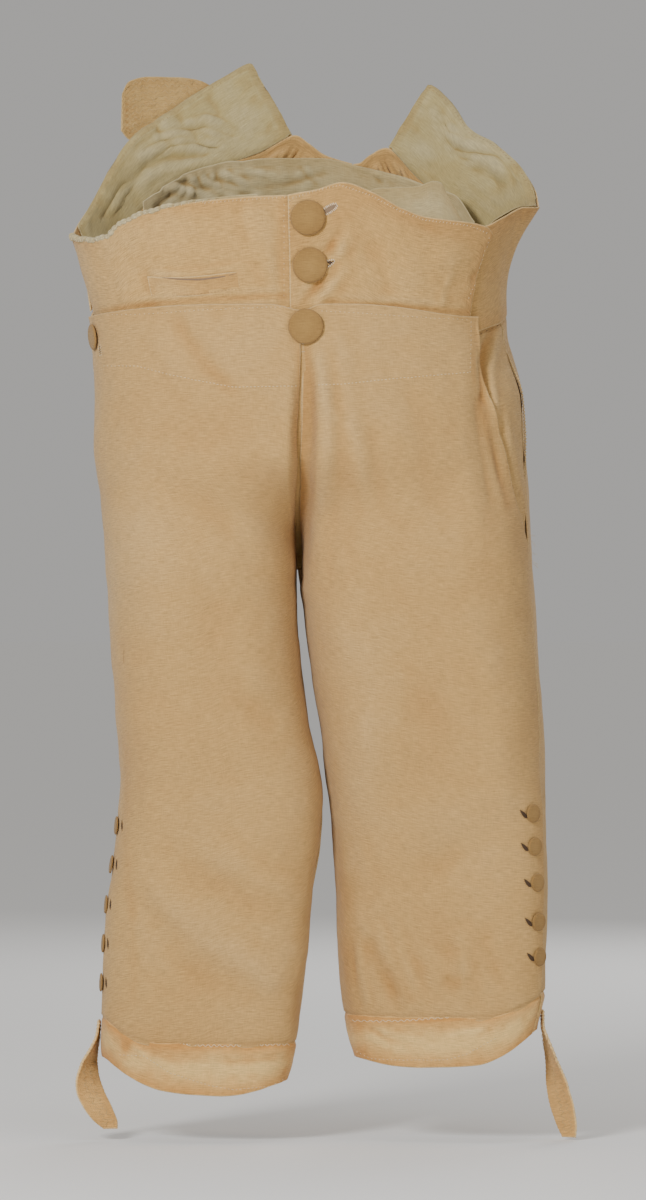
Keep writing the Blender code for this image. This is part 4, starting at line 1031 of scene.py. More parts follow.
# %% [markdown]
# Every cloth piece is a thin shell: an outer net of points on the section, and an inner net one cloth
# thickness behind it, joined round the rim. The edges are rounded off as a turned edge is, and each
# point keeps its measure along and down the cloth, its distance from the edge and its fold, which the
# materials read for the weave and for painted shade and highlight.

# %% Nets of points
TURNED_EDGE = (0.0004, 0.0009, 0.0016, 0.0027, 0.0042)  # metres from an edge, where more rows are set
RIM_ROWS = 7  # rows of the turned edge, whose roundness is no fold


def directions(points, out):
    """The outward direction at each point of a net."""
    normal = np.cross(np.gradient(points, axis=1), np.gradient(points, axis=0))
    normal /= np.maximum(np.linalg.norm(normal, axis=-1, keepdims=True), 1e-12)
    return normal * np.sign(np.sum(normal * out(points)))


def measured(points):
    """The length along the rows and down the columns of a net, from its first ones."""
    rows = np.linalg.norm(np.diff(points, axis=1), axis=-1)
    columns = np.linalg.norm(np.diff(points, axis=0), axis=-1)
    along = np.concatenate([np.zeros((points.shape[0], 1)), np.cumsum(rows, axis=1)], axis=1)
    down = np.concatenate([np.zeros((1, points.shape[1])), np.cumsum(columns, axis=0)], axis=0)
    return along, down


def spaced(count, length, low=0.0, high=1.0):
    """Shares set close together at both ends, where the edge is turned."""
    even = np.linspace(0, 1, count)
    turned = np.array(TURNED_EDGE) / length
    shares = np.sort(np.concatenate([even[even > turned[-1]], [0.0], turned]))
    shares = shares[shares < 1 - turned[-1]]
    return low + (high - low) * np.concatenate([shares, 1 - turned[::-1], [1.0]])


def bends(fold, along, down):
    """How sharply folds crest (above nought) or dip (below it), per metre."""
    total = 0.0
    for axis, at in ((1, along), (0, down)):
        step = np.maximum(np.gradient(at, axis=axis), 1e-3)
        total = total - np.gradient(np.gradient(fold, axis=axis) / step, axis=axis) / step
    for axis in (0, 1):
        total = (np.roll(total, 1, axis) + 2 * total + np.roll(total, -1, axis)) / 4
    for rim in (slice(None, RIM_ROWS), slice(-RIM_ROWS, None)):
        total[rim], total[:, rim] = 0, 0
    return total


print("a turned edge has", len(TURNED_EDGE), "rows of points in", TURNED_EDGE[-1] * 1000, "mm")

# %% [markdown]
# The net becomes a mesh in one step: from_pydata takes the points, and the faces as lists of their
# numbers. A plane with a Solidify modifier would give a wall too, but here the inner net has to tuck in
# behind neighbours, so we place both nets ourselves.

# %% Meshes of a sheet
def made_object(name, places, faces, material, smooth=True):
    """A mesh object with one material, linked into the scene."""
    mesh = bpy.data.meshes.new(name)
    mesh.from_pydata(places, [], faces)
    if smooth:
        mesh.shade_smooth()
    mesh.materials.append(material)
    thing = bpy.data.objects.new(name, mesh)
    bpy.context.scene.collection.objects.link(thing)
    return thing


def keep(thing, name, kind, values, copies=1):
    """Store values on a mesh's points, once for each of its nets."""
    layer = thing.data.attributes.new(name, kind, "POINT")
    flat = np.concatenate([np.asarray(values, np.float32).ravel()] * copies)
    layer.data.foreach_set("vector" if kind == "FLOAT_VECTOR" else "value", flat)


def net_mesh(name, outer, inner, finish, forward):
    """A closed mesh from two nets of points."""
    rows, columns = outer.shape[:2]
    index = np.arange(rows * columns).reshape(rows, columns)
    quads = np.stack([index[:-1, :-1], index[:-1, 1:], index[1:, 1:], index[1:, :-1]], -1).reshape(-1, 4)
    behind = quads[:, ::-1] + rows * columns
    rim = np.concatenate([index[0], index[1:, -1], index[-1, -2::-1], index[-2:0:-1, 0]])
    after = np.roll(rim, -1)
    sides = np.stack([after, rim, rim + rows * columns, after + rows * columns], -1)
    faces = np.concatenate([quads, behind, sides])
    if not forward:
        faces = faces[:, ::-1]
    places = np.concatenate([outer.reshape(-1, 3), inner.reshape(-1, 3)])
    return made_object(name, places, faces.tolist(), FINISH[finish])


print("a net of 3 by 4 points has", 2 * (2 * 3) + 2 * (2 + 3), "faces with its back and its rim")

# %% [markdown]
# Now a sheet goes through its steps: measure it flat, push its folds in or out, round off its edges, add
# the inner net, and store what the materials read. A fold of a front piece only shows on what faces the
# camera, so it fades where the cloth turns away.

# %% A sheet from its net
EDGE_ROUND = 0.7  # how far in from an edge the wall begins to thin, in walls
EDGE_THINNING = 0.92  # how much of the wall is gone at the very edge
EDGE_REACH = 0.05  # no material reads further in from an edge than this
# A fold's depth and its bend paint shade into its hollow and a highlight onto its ridge
FOLD_SHADE, FOLD_DEPTH = 0.18, 0.003  # a fold of this depth counts for so much in the colour
FULL_BEND = 230  # bends per metre that count in full
CREASE_LIMITS = (-1.1, 1)
PLAIN = {}  # each sheet's net before its folds


def shell(name, points, wall, finish, out, behind=0.0, face=None, dents=(0.05, 0.0), push=None):
    """One sheet of cloth on a net of points, with its folds, as a closed thin shell."""
    PLAIN[name] = points
    along, down = measured(points)
    normal = directions(points, out)
    x, z = points[..., 0], points[..., 2]
    inside = face in ("lining", "seat lining")
    fold = relief(face, x, z) if face else np.zeros(x.shape)
    if inside:
        fold = -fold
    elif face:
        fold = fold * np.clip(normal[..., 1] if face == "back" else -normal[..., 1], 0, 1)
    fold = fold + crumple(points, *dents, seed=len(name) + points.shape[0])
    if push is not None:
        fold = fold + push
    if face == "lining":
        fold = np.minimum(fold, 0.0)
    points = points + normal * fold[..., None]
    normal = directions(points, out)
    edges = np.minimum(np.minimum(along, along[:, -1:] - along), np.minimum(down, down[-1:] - down))
    bend = np.clip(edges / (EDGE_ROUND * wall), 0, 1)
    taken = wall / 2 * (1 - np.sqrt(1 - (1 - bend) ** 2)) * EDGE_THINNING
    behind = np.broadcast_to(np.asarray(behind, float), taken.shape)
    outer = points - normal * (behind + taken)[..., None]
    inner = points - normal * (behind + wall - taken)[..., None]
    ahead = np.cross(np.gradient(points, axis=1), np.gradient(points, axis=0))
    thing = net_mesh(name, outer, inner, finish, np.sum(ahead * normal) > 0)
    middle = along[:, along.shape[1] // 2][:, None]
    keep(thing, "grain", "FLOAT_VECTOR", np.stack([along - middle, down, 0 * down], -1), 2)
    keep(thing, "edge", "FLOAT", np.minimum(edges, EDGE_REACH), 2)
    # The crease attribute paints shade into hollows and a highlight onto ridges, by depth and by bend, and
    # adds the lines of stain and painted shade
    ridge = -fold if inside else fold
    stain_and_shade = relief(face + " stain", x, z) * 1000 if face in STAIN_AND_SHADE_FACES else 0.0
    crease = FOLD_SHADE * ridge / FOLD_DEPTH + bends(ridge, along, down) / FULL_BEND + stain_and_shade
    keep(thing, "crease", "FLOAT", np.clip(crease, *CREASE_LIMITS), 2)
    return thing


print("edges are rounded over", EDGE_ROUND * CLOTH * 1000, "mm")

# %% [markdown]
# Each sheet is hung from the root, its flat size and its count of faces are printed, and the part's own
# solid for that node is hidden.

# %% Placing a sheet
LEAST_AREA = 0.31  # of its width by its length: the least that any piece here fills


def cut_size(points):
    """The flat width, length and area of a sheet before it was folded or hung."""
    along, down = measured(points)
    width, length = along[:, -1].max(), down[-1].max()
    area = np.linalg.norm(np.cross(np.gradient(points, axis=1), np.gradient(points, axis=0)), axis=-1)
    for edge in (0, -1):
        area[edge] /= 2
        area[:, edge] /= 2
    return round(float(width), 3), round(float(length), 3), round(float(area.sum()), 4)


def place_sheet(thing, node):
    width, length, area = cut_size(PLAIN[thing.name])
    area = min(max(area, LEAST_AREA * width * length), width * length)
    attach(thing, "root")
    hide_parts(node)
    print(f"{thing.name}: {width * 1000:.0f} x {length * 1000:.0f} mm, {len(thing.data.polygons)} faces")


flat_net = np.stack([*np.meshgrid(np.arange(4.0), np.arange(5.0)), np.zeros((5, 4))], -1)
print("a flat sheet of 3 by 4 cells measures", cut_size(flat_net))

# %% [markdown]
# Each leg front is cut in one with its half of the fall, the flap that buttons up over the waistband.
# On the left its free edge runs down to the pocket's end; below that, and all down the right, the front
# meets the back at the side seam. The sheet is read from the skin between those edges.

# %% Edges of the legs
# Where the side seam lies, by height: behind the side on the right, before it on the left
OUTSEAM = {
    RIGHT: ((-0.70, -0.025), (-0.40, -0.025), (-0.25, -0.040), (-0.04, -0.051)),
    LEFT: ((-0.70, 0.110), (-0.40, 0.110), (-0.20, 0.100), (-0.04, 0.100)),
}
SHARE_GAP = 0.0013  # half a seam gap, as a share of the way round
# The fall's top edge: it dips at the middle button and drops to the side corners
FALL_TOP_Z = -0.0418
FALL_DIP, FALL_DIP_WIDTH = 0.0045, 0.035
FALL_CORNER_DROP = {RIGHT: 0.0060, LEFT: 0.0080}
# The fall's free edge on the wearer's left, as a share of the way from the side to the front seam
FALL_EDGE = (
    (-0.222, 0.100), (-0.205, 0.150), (-0.188, 0.210), (-0.173, 0.255), (-0.143, 0.322),
    (-0.122, 0.362), (-0.108, 0.388), (-0.095, 0.402), (-0.049, 0.372),
)
FALL_EDGE_END_Z = (-0.224, -0.222)
FALL_LAP = 0.10  # how far the side piece runs on behind the fall, as a share
SIDE_PIECE_LOW_Z = -0.226
SIDE_PIECE_INSET = 1.15  # layers it lies behind the fall
KNEE_SEAM = {RIGHT: (-0.5955, 0.0180), LEFT: (-0.5755, 0.0175)}  # level, and how far the outer end rises
HEM = {RIGHT: (-0.6245, -0.0105, 0.0160), LEFT: (-0.6080, -0.0060, 0.0210)}  # and how far the front hangs
HEM_LOWEST_SHARE, HEM_HANG_WIDTH = 0.56, 0.22
OUTER_RISE = (0.05, 0.42)  # the shares between which the knee seam and hem rise to the outer end
SLIT_OPENS_Z = (SLIT_TOP_Z + 0.01, SLIT_TOP_Z - 0.02)
SLIT_STEP_Z = (SLIT_TOP_Z + 0.040, SLIT_TOP_Z + 0.015)  # the back steps one layer in behind the front
SLIT_STEP_SHARE = (-0.13, -0.03)
SLIT_LAP = 0.075  # how far the back runs on behind the front at the knee slit, as a share
ROW_BUNCHING = 0.30
# Gathers of the seat where it is set into the back waistband
GATHER_PITCH = 0.14  # from one crest to the next, as a share of half the seat
GATHER_DEPTH = 0.0038
GATHER_FADE = 0.075  # how far down they run out
GATHER_CREST = 0.35  # a crest's share of the way to the vent
GATHER_FROM = (0.20, 0.40)  # the shares between which they begin and end
GATHER_TO = (0.90, 0.95)
BAND_DRAW = 0.060  # how far below the band a panel is drawn to it


def outseam(side, z):
    return pairs(OUTSEAM[side], z)


def fall_top(side, share):
    """The fall's top edge: it dips at the middle button and drops to the side corners."""
    dip = FALL_DIP * np.exp(-(((share - 1.0) / FALL_DIP_WIDTH) ** 2))
    corner = FALL_CORNER_DROP[side] * (1.0 - ease(0.10, 0.80, share))
    return FALL_TOP_Z - dip - corner


def knee_seam(side, share):
    """The seam where the leg is set into its kneeband: it rises to the outer side."""
    level, lift = KNEE_SEAM[side]
    return level + lift * (1.0 - ease(*OUTER_RISE, np.abs(share)))


def hem(side, share):
    """The kneeband's lower edge, which hangs lowest at the middle of the front."""
    level, hang, lift = HEM[side]
    front = np.where(share > 0, np.exp(-(((share - HEM_LOWEST_SHARE) / HEM_HANG_WIDTH) ** 2)), 0.0)
    return level + hang * front + lift * (1.0 - ease(*OUTER_RISE, np.abs(share)))


def side_name(name, side):
    return name + ("_left" if side == LEFT else "_right")


def to_band(side, points, band_share, z_seam):
    """Draw the top of a panel to the lower seam of the back waistband."""
    near = 1.0 - ease(0.0, BAND_DRAW, z_seam - points[..., 2])
    for place, name in enumerate(("low_x", "low_y")):
        seam = read(BACK_BAND[side], BAND_COLUMNS, name, band_share)
        points[..., place] += (seam - points[..., place]) * near
    return points

# %% [markdown]
# Where one piece is sewn to another, its turning runs on behind the neighbour. Without it a thin line of
# light would show at each seam, so every panel is made a few millimetres too long and tucked in.

# %% Turnings at the seams
SEAM_TURNING = 0.0035  # how far a leg runs on behind its kneeband
BAND_TURNING = 0.0045  # how far the seat runs on behind the back waistband


def from_side(first, across):
    """Shares from the side seam round to the front seam."""
    return first + across * (1.0 - SHARE_GAP - first)


def to_seat(first, across):
    """Shares from the side seam round to the seat seam."""
    return first - across * (1.0 - SHARE_GAP + first)


def foot_front(side, across):
    return from_side(OUTSEAM[side][0][1] + SHARE_GAP, across)


def foot_back(side, across):
    return to_seat(OUTSEAM[side][0][1] - SHARE_GAP + SLIT_LAP, across)


def under_knee(side, points, shares):
    """How far the foot of a leg is tucked in behind its kneeband."""
    return 0.75 * CLOTH * ease(0.0014, 0.0002, points[..., 2] - knee_seam(side, shares))


def under_waist(points):
    """How far the top of a panel is tucked in behind the back waistband."""
    return (CLOTH + 0.0003) * ease(0.0065, 0.0035, points[0, :, 2][None, :] - points[..., 2])


print("the foot of the right front runs from", foot_front(RIGHT, 0.0), "to", foot_front(RIGHT, 1.0))

# %% [markdown]
# Now the first sheet. The front is read as rows of shares from the side seam, or from the fall's free
# edge, to the front seam, between the fall's top and the knee. Along the edge that buttons, the turned
# cloth stands up in a small lip.

# %% Leg fronts
LIP_TOP, LIP_FREE = (0.0006, 0.0010, 0.0011), (0.0007, 0.0010, 0.0012)  # height, distance in, half width


def bump_at(distance, height, middle, width):
    """A rounded ridge at some distance."""
    return height * np.exp(-((distance - middle) / width) ** 2)


def leg_front(side):
    across, down = spaced(84, 0.20)[None, :], spaced(210, 0.53)[:, None]
    top = fall_top(side, across)
    z = top + down * (knee_seam(side, foot_front(side, across)) - SEAM_TURNING - top)
    first = outseam(side, z)
    if side == LEFT:
        first = np.maximum(pairs(FALL_EDGE, z) * ease(*FALL_EDGE_END_Z, z), first)
    points = skin(side, from_side(first + SHARE_GAP, across), z)
    tucked = under_knee(side, points, foot_front(side, across))
    lip = bump_at(top - points[..., 2], *LIP_TOP)
    if side == LEFT:
        lip = lip + relief("valley", points[..., 0], points[..., 2])
        lip = lip + bump_at(measured(points)[0], *LIP_FREE) * ease(-0.16, -0.10, points[..., 2])
    name = side_name("leg_front", side)
    thing = shell(name, points, CLOTH, "cloth", from_leg(side), tucked, "front", dents=(0.07, 0.0011),
        push=lip)
    place_sheet(thing, side_name("front_leg", side))
    return thing


FRONTS = {side: leg_front(side) for side in (RIGHT, LEFT)}

# %% [markdown]
# The leg backs are far wider at the top than the waistband they are sewn into, so the seat is drawn up in
# gathers. Real gathers are never even: here a main wave is broken up by a finer one of another pitch,
# and both run out a hand's breadth below the band.

# %% Leg backs
FINE_GATHER, FINE_PITCH, FINE_DRIFT, FINE_SHIFT = 0.35, 0.31, 0.3, 1.0  # the finer wave, against the main


def gathers(across, drop):
    """How far the gathers push the seat out, by the way along the band and the drop below it."""
    depth = GATHER_DEPTH * ease(BAND_TURNING, 0.016, drop) * (1 - ease(0.02, GATHER_FADE, drop))
    wave = np.cos(2 * np.pi * (across - GATHER_CREST) / GATHER_PITCH)
    finer = 2 * np.pi * (across + FINE_DRIFT * across**2) / (FINE_PITCH * GATHER_PITCH) + FINE_SHIFT
    wave = wave + FINE_GATHER * np.cos(finer)
    return depth * (wave * ease(*GATHER_FROM, across) * (1 - ease(*GATHER_TO, across)))


def leg_back(side):
    across, down = spaced(120, 0.24)[None, :], spaced(200, 0.62)[:, None]
    band_share = SIDE_SHARE[side] + across * (VENT_END[side] - SIDE_SHARE[side])
    z_seam = read(BACK_BAND[side], BAND_COLUMNS, "low_z", band_share) - BAND_GAP + BAND_TURNING
    z = z_seam + down * (knee_seam(side, foot_back(side, across)) - SEAM_TURNING - z_seam)
    share = to_seat(outseam(side, z) - SHARE_GAP + SLIT_LAP * ease(*SLIT_OPENS_Z, z), across)
    under = ease(*SLIT_STEP_Z, z) * ease(*SLIT_STEP_SHARE, share - outseam(side, z))
    points = to_band(side, inward(side, skin(side, share, z), LAYER * under), band_share, z_seam)
    points[..., 1] += gathers(across, z_seam - z)
    tucked = under_knee(side, points, foot_back(side, across)) + under_waist(points)
    name = side_name("leg_back", side)
    thing = shell(name, points, CLOTH, "cloth", from_leg(side), tucked, "back", dents=(0.08, 0.0010))
    place_sheet(thing, side_name("back_leg", side))
    return thing


BACKS = {side: leg_back(side) for side in (RIGHT, LEFT)}

# %% [markdown]
# The seam that joins the legs runs from the fall down to the crotch and up the seat. Its turnings, a
# finger wide, are pressed open inside, so no light comes through between the legs' edges. They are a
# strip that follows the seam, one cloth thickness inside it.

# %% Turnings of the front and seat seam
TURNINGS_WIDTH, TURNINGS_WALL = 0.012, 0.0010
TURNINGS_FRONT_Z, TURNINGS_BACK_Z = -0.052, 0.066  # their upper ends
TURNINGS_CURL = 0.0012  # how far their edges stand up


def seam_turnings():
    down = np.linspace(TURNINGS_FRONT_Z, CROTCH_Z + 0.0004, 90)
    up = np.linspace(CROTCH_Z + 0.0004, TURNINGS_BACK_Z, 110)[1:]
    front = (skin(RIGHT, 1.0, down) + skin(LEFT, 1.0, down)) / 2
    seat = (skin(RIGHT, -1.0, up) + skin(LEFT, -1.0, up)) / 2
    line = np.concatenate([front, seat])
    tangent = np.gradient(line, axis=0)
    inside = np.stack([0 * tangent[:, 0], tangent[:, 2], -tangent[:, 1]], axis=-1)
    inside *= np.sign(np.sum(inside * (np.array([0, 0.015, -0.08]) - line), axis=1))[:, None]
    inside = unit(inside)
    line = line + inside * (CLOTH + 0.0007)
    across = (spaced(16, TURNINGS_WIDTH) - 0.5) * TURNINGS_WIDTH
    points = line[:, None, :] + across[None, :, None] * np.array([1.0, 0.0, 0.0])
    lift = TURNINGS_CURL * (across / (TURNINGS_WIDTH / 2)) ** 2
    points = points + inside[:, None, :] * lift[None, :, None]
    thing = shell(
        "seam_turnings", points, TURNINGS_WALL, "cloth",
        lambda p: np.broadcast_to(-inside[:, None, :], p.shape)
    )
    width, length, area = cut_size(PLAIN["seam_turnings"])
    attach(thing, "root")
    print("seam turnings:", width, "x", length, "m")


seam_turnings()

# %% [markdown]
# Behind the fall's free edge a side piece carries the pocket. It runs in under the fall, and a deep
# forked fold crosses it where the hip pulls it down.

# %% Side piece
SIDE_TURNING = 0.030  # how far, as a share, it runs on behind the back at its foot


def side_panel():
    across, down = spaced(60, 0.07)[None, :], spaced(110, 0.16)[:, None]
    band_share = (SIDE_SHARE[LEFT] - SIDE_SEAM_GAP) * across
    z_seam = read(BACK_BAND_LEFT, BAND_COLUMNS, "low_z", band_share) - BAND_GAP + BAND_TURNING
    z = z_seam + down * (SIDE_PIECE_LOW_Z - z_seam)
    first = pairs(FALL_EDGE, z) + FALL_LAP
    last = outseam(LEFT, z) - SIDE_TURNING * ease(-0.15, -0.18, z)
    share = first + across * (last - first)
    under = SIDE_PIECE_INSET * ease(-0.10, -0.02, share - pairs(FALL_EDGE, z))
    under = np.maximum(under, ease(0.010, -0.002, share - outseam(LEFT, z)))
    points = to_band(LEFT, inward(LEFT, skin(LEFT, share, z), LAYER * under), band_share, z_seam)
    thing = shell(
        "side_piece", points, CLOTH, "cloth", from_leg(LEFT), under_waist(points), "front",
        dents=(0.04, 0.0005)
    )
    place_sheet(thing, "side_piece_left")
    return thing


side_piece = side_panel()

# %% [markdown]
# The front waistbands are shaped bands of the same cloth, lined. The left one buttons over the right one,
# and the strain between the two buttons draws slanting folds across it.

# %% Front waistbands
CORNER_COVER = 0.007  # how far the band runs on down behind the fall's dropped corner


def waistband_front(side):
    across, down = spaced(110, 0.20)[None, :], spaced(64, 0.11)[:, None]
    start_top, start_low, end = FRONT_BAND_SPAN[side]
    first = start_top + (start_low - start_top) * down
    share = first + across * (end - first)
    top = pairs(WAIST_TOP_LEFT if side == LEFT else WAIST_TOP_RIGHT, share)
    low_z = WAIST_LOW_Z - CORNER_COVER * ease(0.12, 0.02, share) * (side == RIGHT)
    points = waist_skin(side, share, top + down * (low_z - top))
    behind = 0.0 * down
    if side == RIGHT:
        behind = LAYER * ease(*UNDERLAP, start_top + across * (end - start_top)) + behind
    name = side_name("waistband_front", side)
    thing = shell(name, points, CLOTH, "band cloth", from_axis, behind, "band", dents=(0.05, 0.0005))
    place_sheet(thing, side_name("front_waistband", side))
    return thing


BANDS = {side: waistband_front(side) for side in (RIGHT, LEFT)}

# %% [markdown]
# The back waistbands rise to tall peaks on either side of an open vent. Seen from the front we look at
# their lining, a thinner linen that has dried into folds of its own. The lining sits just inside the band
# and its folds stand up only inwards, so that the two sheets never cross.

# %% Back waistbands and their linings
LINING_SLACK = 0.0026  # how far the lining stands off the band, away from its edges


def waistband_back(side):
    points = band_skin(side, spaced(120, 0.19, 0.002, 1.0)[None, :], 1.0 - spaced(50, 0.07)[:, None])
    name = side_name("waistband_back", side)
    thing = shell(name, points, CLOTH, "band cloth", from_axis, dents=(0.05, 0.0003))
    place_sheet(thing, side_name("back_waistband", side))


def lining_back(side):
    across = spaced(130, 0.17, 0.107, 0.9985)[None, :]
    up = 0.988 - 0.95 * spaced(70, 0.07)[:, None]
    points = band_skin(side, across, up)
    free = np.minimum(ease(0, 0.08, 1 - up), ease(0, 0.08, up))
    slack = -LINING_SLACK * np.minimum(free, ease(0.1, 0.16, across) * ease(1.0, 0.96, across))
    name, behind = side_name("lining_back", side), CLOTH + 2 * SEAM_GAP
    thing = shell(name, points, LINING, "peak lining", from_axis, behind, "lining", (0.034, 0.0009), slack)
    place_sheet(thing, side_name("back_lining", side))
    return thing


for side in (RIGHT, LEFT):
    waistband_back(side)
BACK_LININGS = {side: lining_back(side) for side in (RIGHT, LEFT)}

# %% [markdown]
# Two more linings show from the front: the seat's, a loose strip hung inside the back, and those of the
# two front waistbands. The left one stands up above its band as a soft flap that leans inwards.

# %% Seat lining and front linings
# The seat lining's free top edge inside the back, from the wearer's right to the left
SEAT_LINING_COLUMNS = ("share", "x", "y", "z")
SEAT_LINING = table("""
0 -0.1249 0.044 0.0334
0.08 -0.1084 0.059 0.0465
0.16 -0.0902 0.07 0.0579
0.24 -0.0742 0.077 0.0636
0.32 -0.0558 0.081 0.0738
0.44 -0.0288 0.084 0.0778
0.57 0.0097 0.085 0.0779
0.68 0.0405 0.084 0.0713
0.78 0.0712 0.079 0.0638
0.86 0.0934 0.072 0.0557
0.93 0.114 0.06 0.048
1 0.129 0.044 0.0265
""")
SEAT_LINING_DROP = 0.100
SEAT_LINING_RISE, SEAT_LINING_RISE_SHARE = 0.0085, (0.22, 0.36)  # its right end covers the lining's seam
SEAT_LINING_SLACK = 0.007  # how far its sides stand off the seat, from one x to another
SEAT_LINING_SLACK_X = (0.085, 0.125)
# The part of the left front's lining that stands above the waistband
FRONT_LINING_TOP = (
    (0.50, 0.0200), (0.53, 0.0369), (0.57, 0.0500), (0.60, 0.0510), (0.66, 0.0469),
    (0.73, 0.0459), (0.80, 0.0450), (0.86, 0.0380),
)
FRONT_LINING_SPAN = {RIGHT: (0.02, 0.90), LEFT: (0.50, 0.86)}  # shares
FRONT_LINING_LOW_Z = {RIGHT: -0.022, LEFT: -0.020}
FRONT_LINING_STAND = 0.0018  # how far the right one's rolled edge stands above its waistband
FRONT_LINING_BEHIND = 0.0008
FLAP_LEAN, FLAP_LEAN_FROM_Z, FLAP_LEAN_RISE = 0.012, 0.012, 0.035  # the left one leans inwards


def seat_y(x, z):
    """How far back the outer skin lies at a place of the seat."""
    seam, side_y, far_y = (body_at(name, z) for name in ("back_seam_x", "side_y", "back_y"))
    x_out = np.where(x > seam, body_at("out_l", z), body_at("out_r", z))
    across = np.clip(np.abs((x - seam) / (x_out - seam)), 0.0, 0.999)
    return side_y + (far_y - side_y) * (1.0 - across**BODY_SQUARENESS) ** (1.0 / BODY_SQUARENESS)


def lining_seat():
    share, along = spaced(150, 0.29)[None, :], spaced(60, 0.10)[:, None]
    x, y, z = (read(SEAT_LINING, SEAT_LINING_COLUMNS, axis, share) for axis in "xyz")
    z = z + SEAT_LINING_RISE * (1 - ease(*SEAT_LINING_RISE_SHARE, share))
    z = z - along * SEAT_LINING_DROP
    x, y = np.broadcast_to(x, z.shape), np.broadcast_to(y, z.shape)
    against = seat_y(x, z) - CLOTH - 1.5 * SEAM_GAP
    against = against - SEAT_LINING_SLACK * ease(*SEAT_LINING_SLACK_X, np.abs(x))
    points = np.stack([x, y + (against - y) * ease(0.1, 1.0, along), z], axis=-1)
    thing = shell("lining_seat", points, LINING, "lining", from_axis, 0.0, "seat lining", (0.034, 0.0010))
    place_sheet(thing, "seat_lining")


def lining_front(side):
    first, last = FRONT_LINING_SPAN[side]
    share, along = spaced(110, 0.14, first, last)[None, :], spaced(44, 0.05)[:, None]
    if side == LEFT:
        top = pairs(FRONT_LINING_TOP, share)
    else:
        top = pairs(WAIST_TOP_RIGHT, share) + FRONT_LINING_STAND
    z = top + along * (FRONT_LINING_LOW_Z[side] - top)
    points = waist_skin(side, share, z)
    lean = FLAP_LEAN * ease(0.0, FLAP_LEAN_RISE, z - FLAP_LEAN_FROM_Z) if side == LEFT else 0.0 * z
    points = points - unit(from_axis(points)) * (CLOTH + SEAM_GAP + FRONT_LINING_BEHIND + lean)[..., None]
    name = side_name("lining_front", side)
    thing = shell(name, points, LINING, "lining", from_axis, dents=(0.03, 0.0005))
    place_sheet(thing, side_name("front_lining", side))


lining_seat()
for side in (RIGHT, LEFT):
    lining_front(side)

# %% [markdown]
# At each knee the leg is set into a band, and its strap hangs loose from the outer end.
# The band runs right round the knee, so its sheet is one long net read round the leg.

# %% Kneebands
KNEE_OPENING = 0.015  # the share left open where the band buckles
KNEE_FLUSH = 0.0009  # how far its seam is pressed in, flush with the leg


def knee_band(side):
    slit = OUTSEAM[side][0][1]
    across = spaced(220, 0.36, slit + SHARE_GAP, 2.0 + slit - KNEE_OPENING)[None, :]
    down = spaced(16, 0.028)[:, None]
    wrapped = across - 2.0 * (across > 1.0)
    top = knee_seam(side, wrapped)
    z = top + down * (hem(side, wrapped) - top)
    x, y = leg_point(side, across, z)
    points = np.stack([x, y, z], axis=-1)
    flush = -KNEE_FLUSH * ease(0.12, 0.03, down)
    name, out = side_name("knee_band", side), from_leg(side, KNEE_AXIS_Y)
    thing = shell(name, points, CLOTH, "knee cloth painted lighter", out, 0.0, "knee", (0.03, 0.0008), flush)
    place_sheet(thing, side_name("kneeband", side))
    return thing


KNEE_BANDS = {side: knee_band(side) for side in (RIGHT, LEFT)}

# %% [markdown]
# A knee strap is a narrow folded strip, quilted across, that runs through a buckle. It bends and turns as
# it hangs, so it isn't read from the leg: a row of places down its middle, each with a turn and a half
# width, carries its net as a spine does.

# %% Knee straps
STRAP_COLUMNS = ("x", "y", "z", "turn", "half_width")
STRAPS = {
    RIGHT: table("""
-0.157 0.007 -0.581 90 0.01
-0.158 0.0065 -0.592 86 0.0112
-0.1612 0.005 -0.603 76 0.0118
-0.1645 0.0025 -0.613 62 0.012
-0.1655 0 -0.623 48 0.012
-0.1635 -0.0025 -0.634 28 0.0118
-0.1585 -0.005 -0.645 12 0.0112
-0.1525 -0.006 -0.6555 5 0.0095
-0.148 -0.006 -0.6625 0 0.0055
"""),
    LEFT: table("""
0.1786 -0.017 -0.572 90 0.01
0.1786 -0.0165 -0.583 91 0.0112
0.1815 -0.015 -0.595 98 0.0118
0.185 -0.013 -0.608 108 0.012
0.188 -0.011 -0.62 122 0.0118
0.1905 -0.009 -0.632 138 0.0113
0.1935 -0.0075 -0.645 146 0.0108
0.1965 -0.0065 -0.657 146 0.0095
0.199 -0.006 -0.669 148 0.006
"""),
}
STRAP_RIDGE, STRAP_RIDGES = 0.00025, 30  # how high the quilting stands, and its rows


def strap(side):
    rows = STRAPS[side]
    at = np.linspace(0, 1, len(rows))
    along = spaced(70, 0.10)
    columns = {
        name: curve(at, [row[place] for row in rows], along) for place, name in enumerate(STRAP_COLUMNS)
    }
    middle = np.stack([columns[axis] for axis in "xyz"], axis=-1)
    turn = np.radians(columns["turn"])
    width = np.stack([np.cos(turn), np.sin(turn), 0 * turn], axis=-1) * columns["half_width"][:, None]
    across = 2 * spaced(16, 0.022) - 1
    points = middle[:, None, :] + width[:, None, :] * across[None, :, None]
    ridges = STRAP_RIDGE * np.sin(2 * np.pi * along * STRAP_RIDGES)[:, None] * np.ones(len(across))
    facing = points * 0 + np.array([side, -1.0, 0.0])
    name = side_name("strap", side)
    thing = shell(name, points, STRAP, "strap cloth", lambda p: facing, -STRAP / 2, None, (0.02, 0.0004),
        ridges)
    place_sheet(thing, side_name("knee_strap", side))
    return thing


KNEE_STRAPS = {side: strap(side) for side in (RIGHT, LEFT)}

# %% [markdown]
# Two small pieces are left. The quilted tab is ruled between two edges, as the back waistbands are. The
# welt of the watch pocket lies on the right waistband and gapes a little along its mouth.

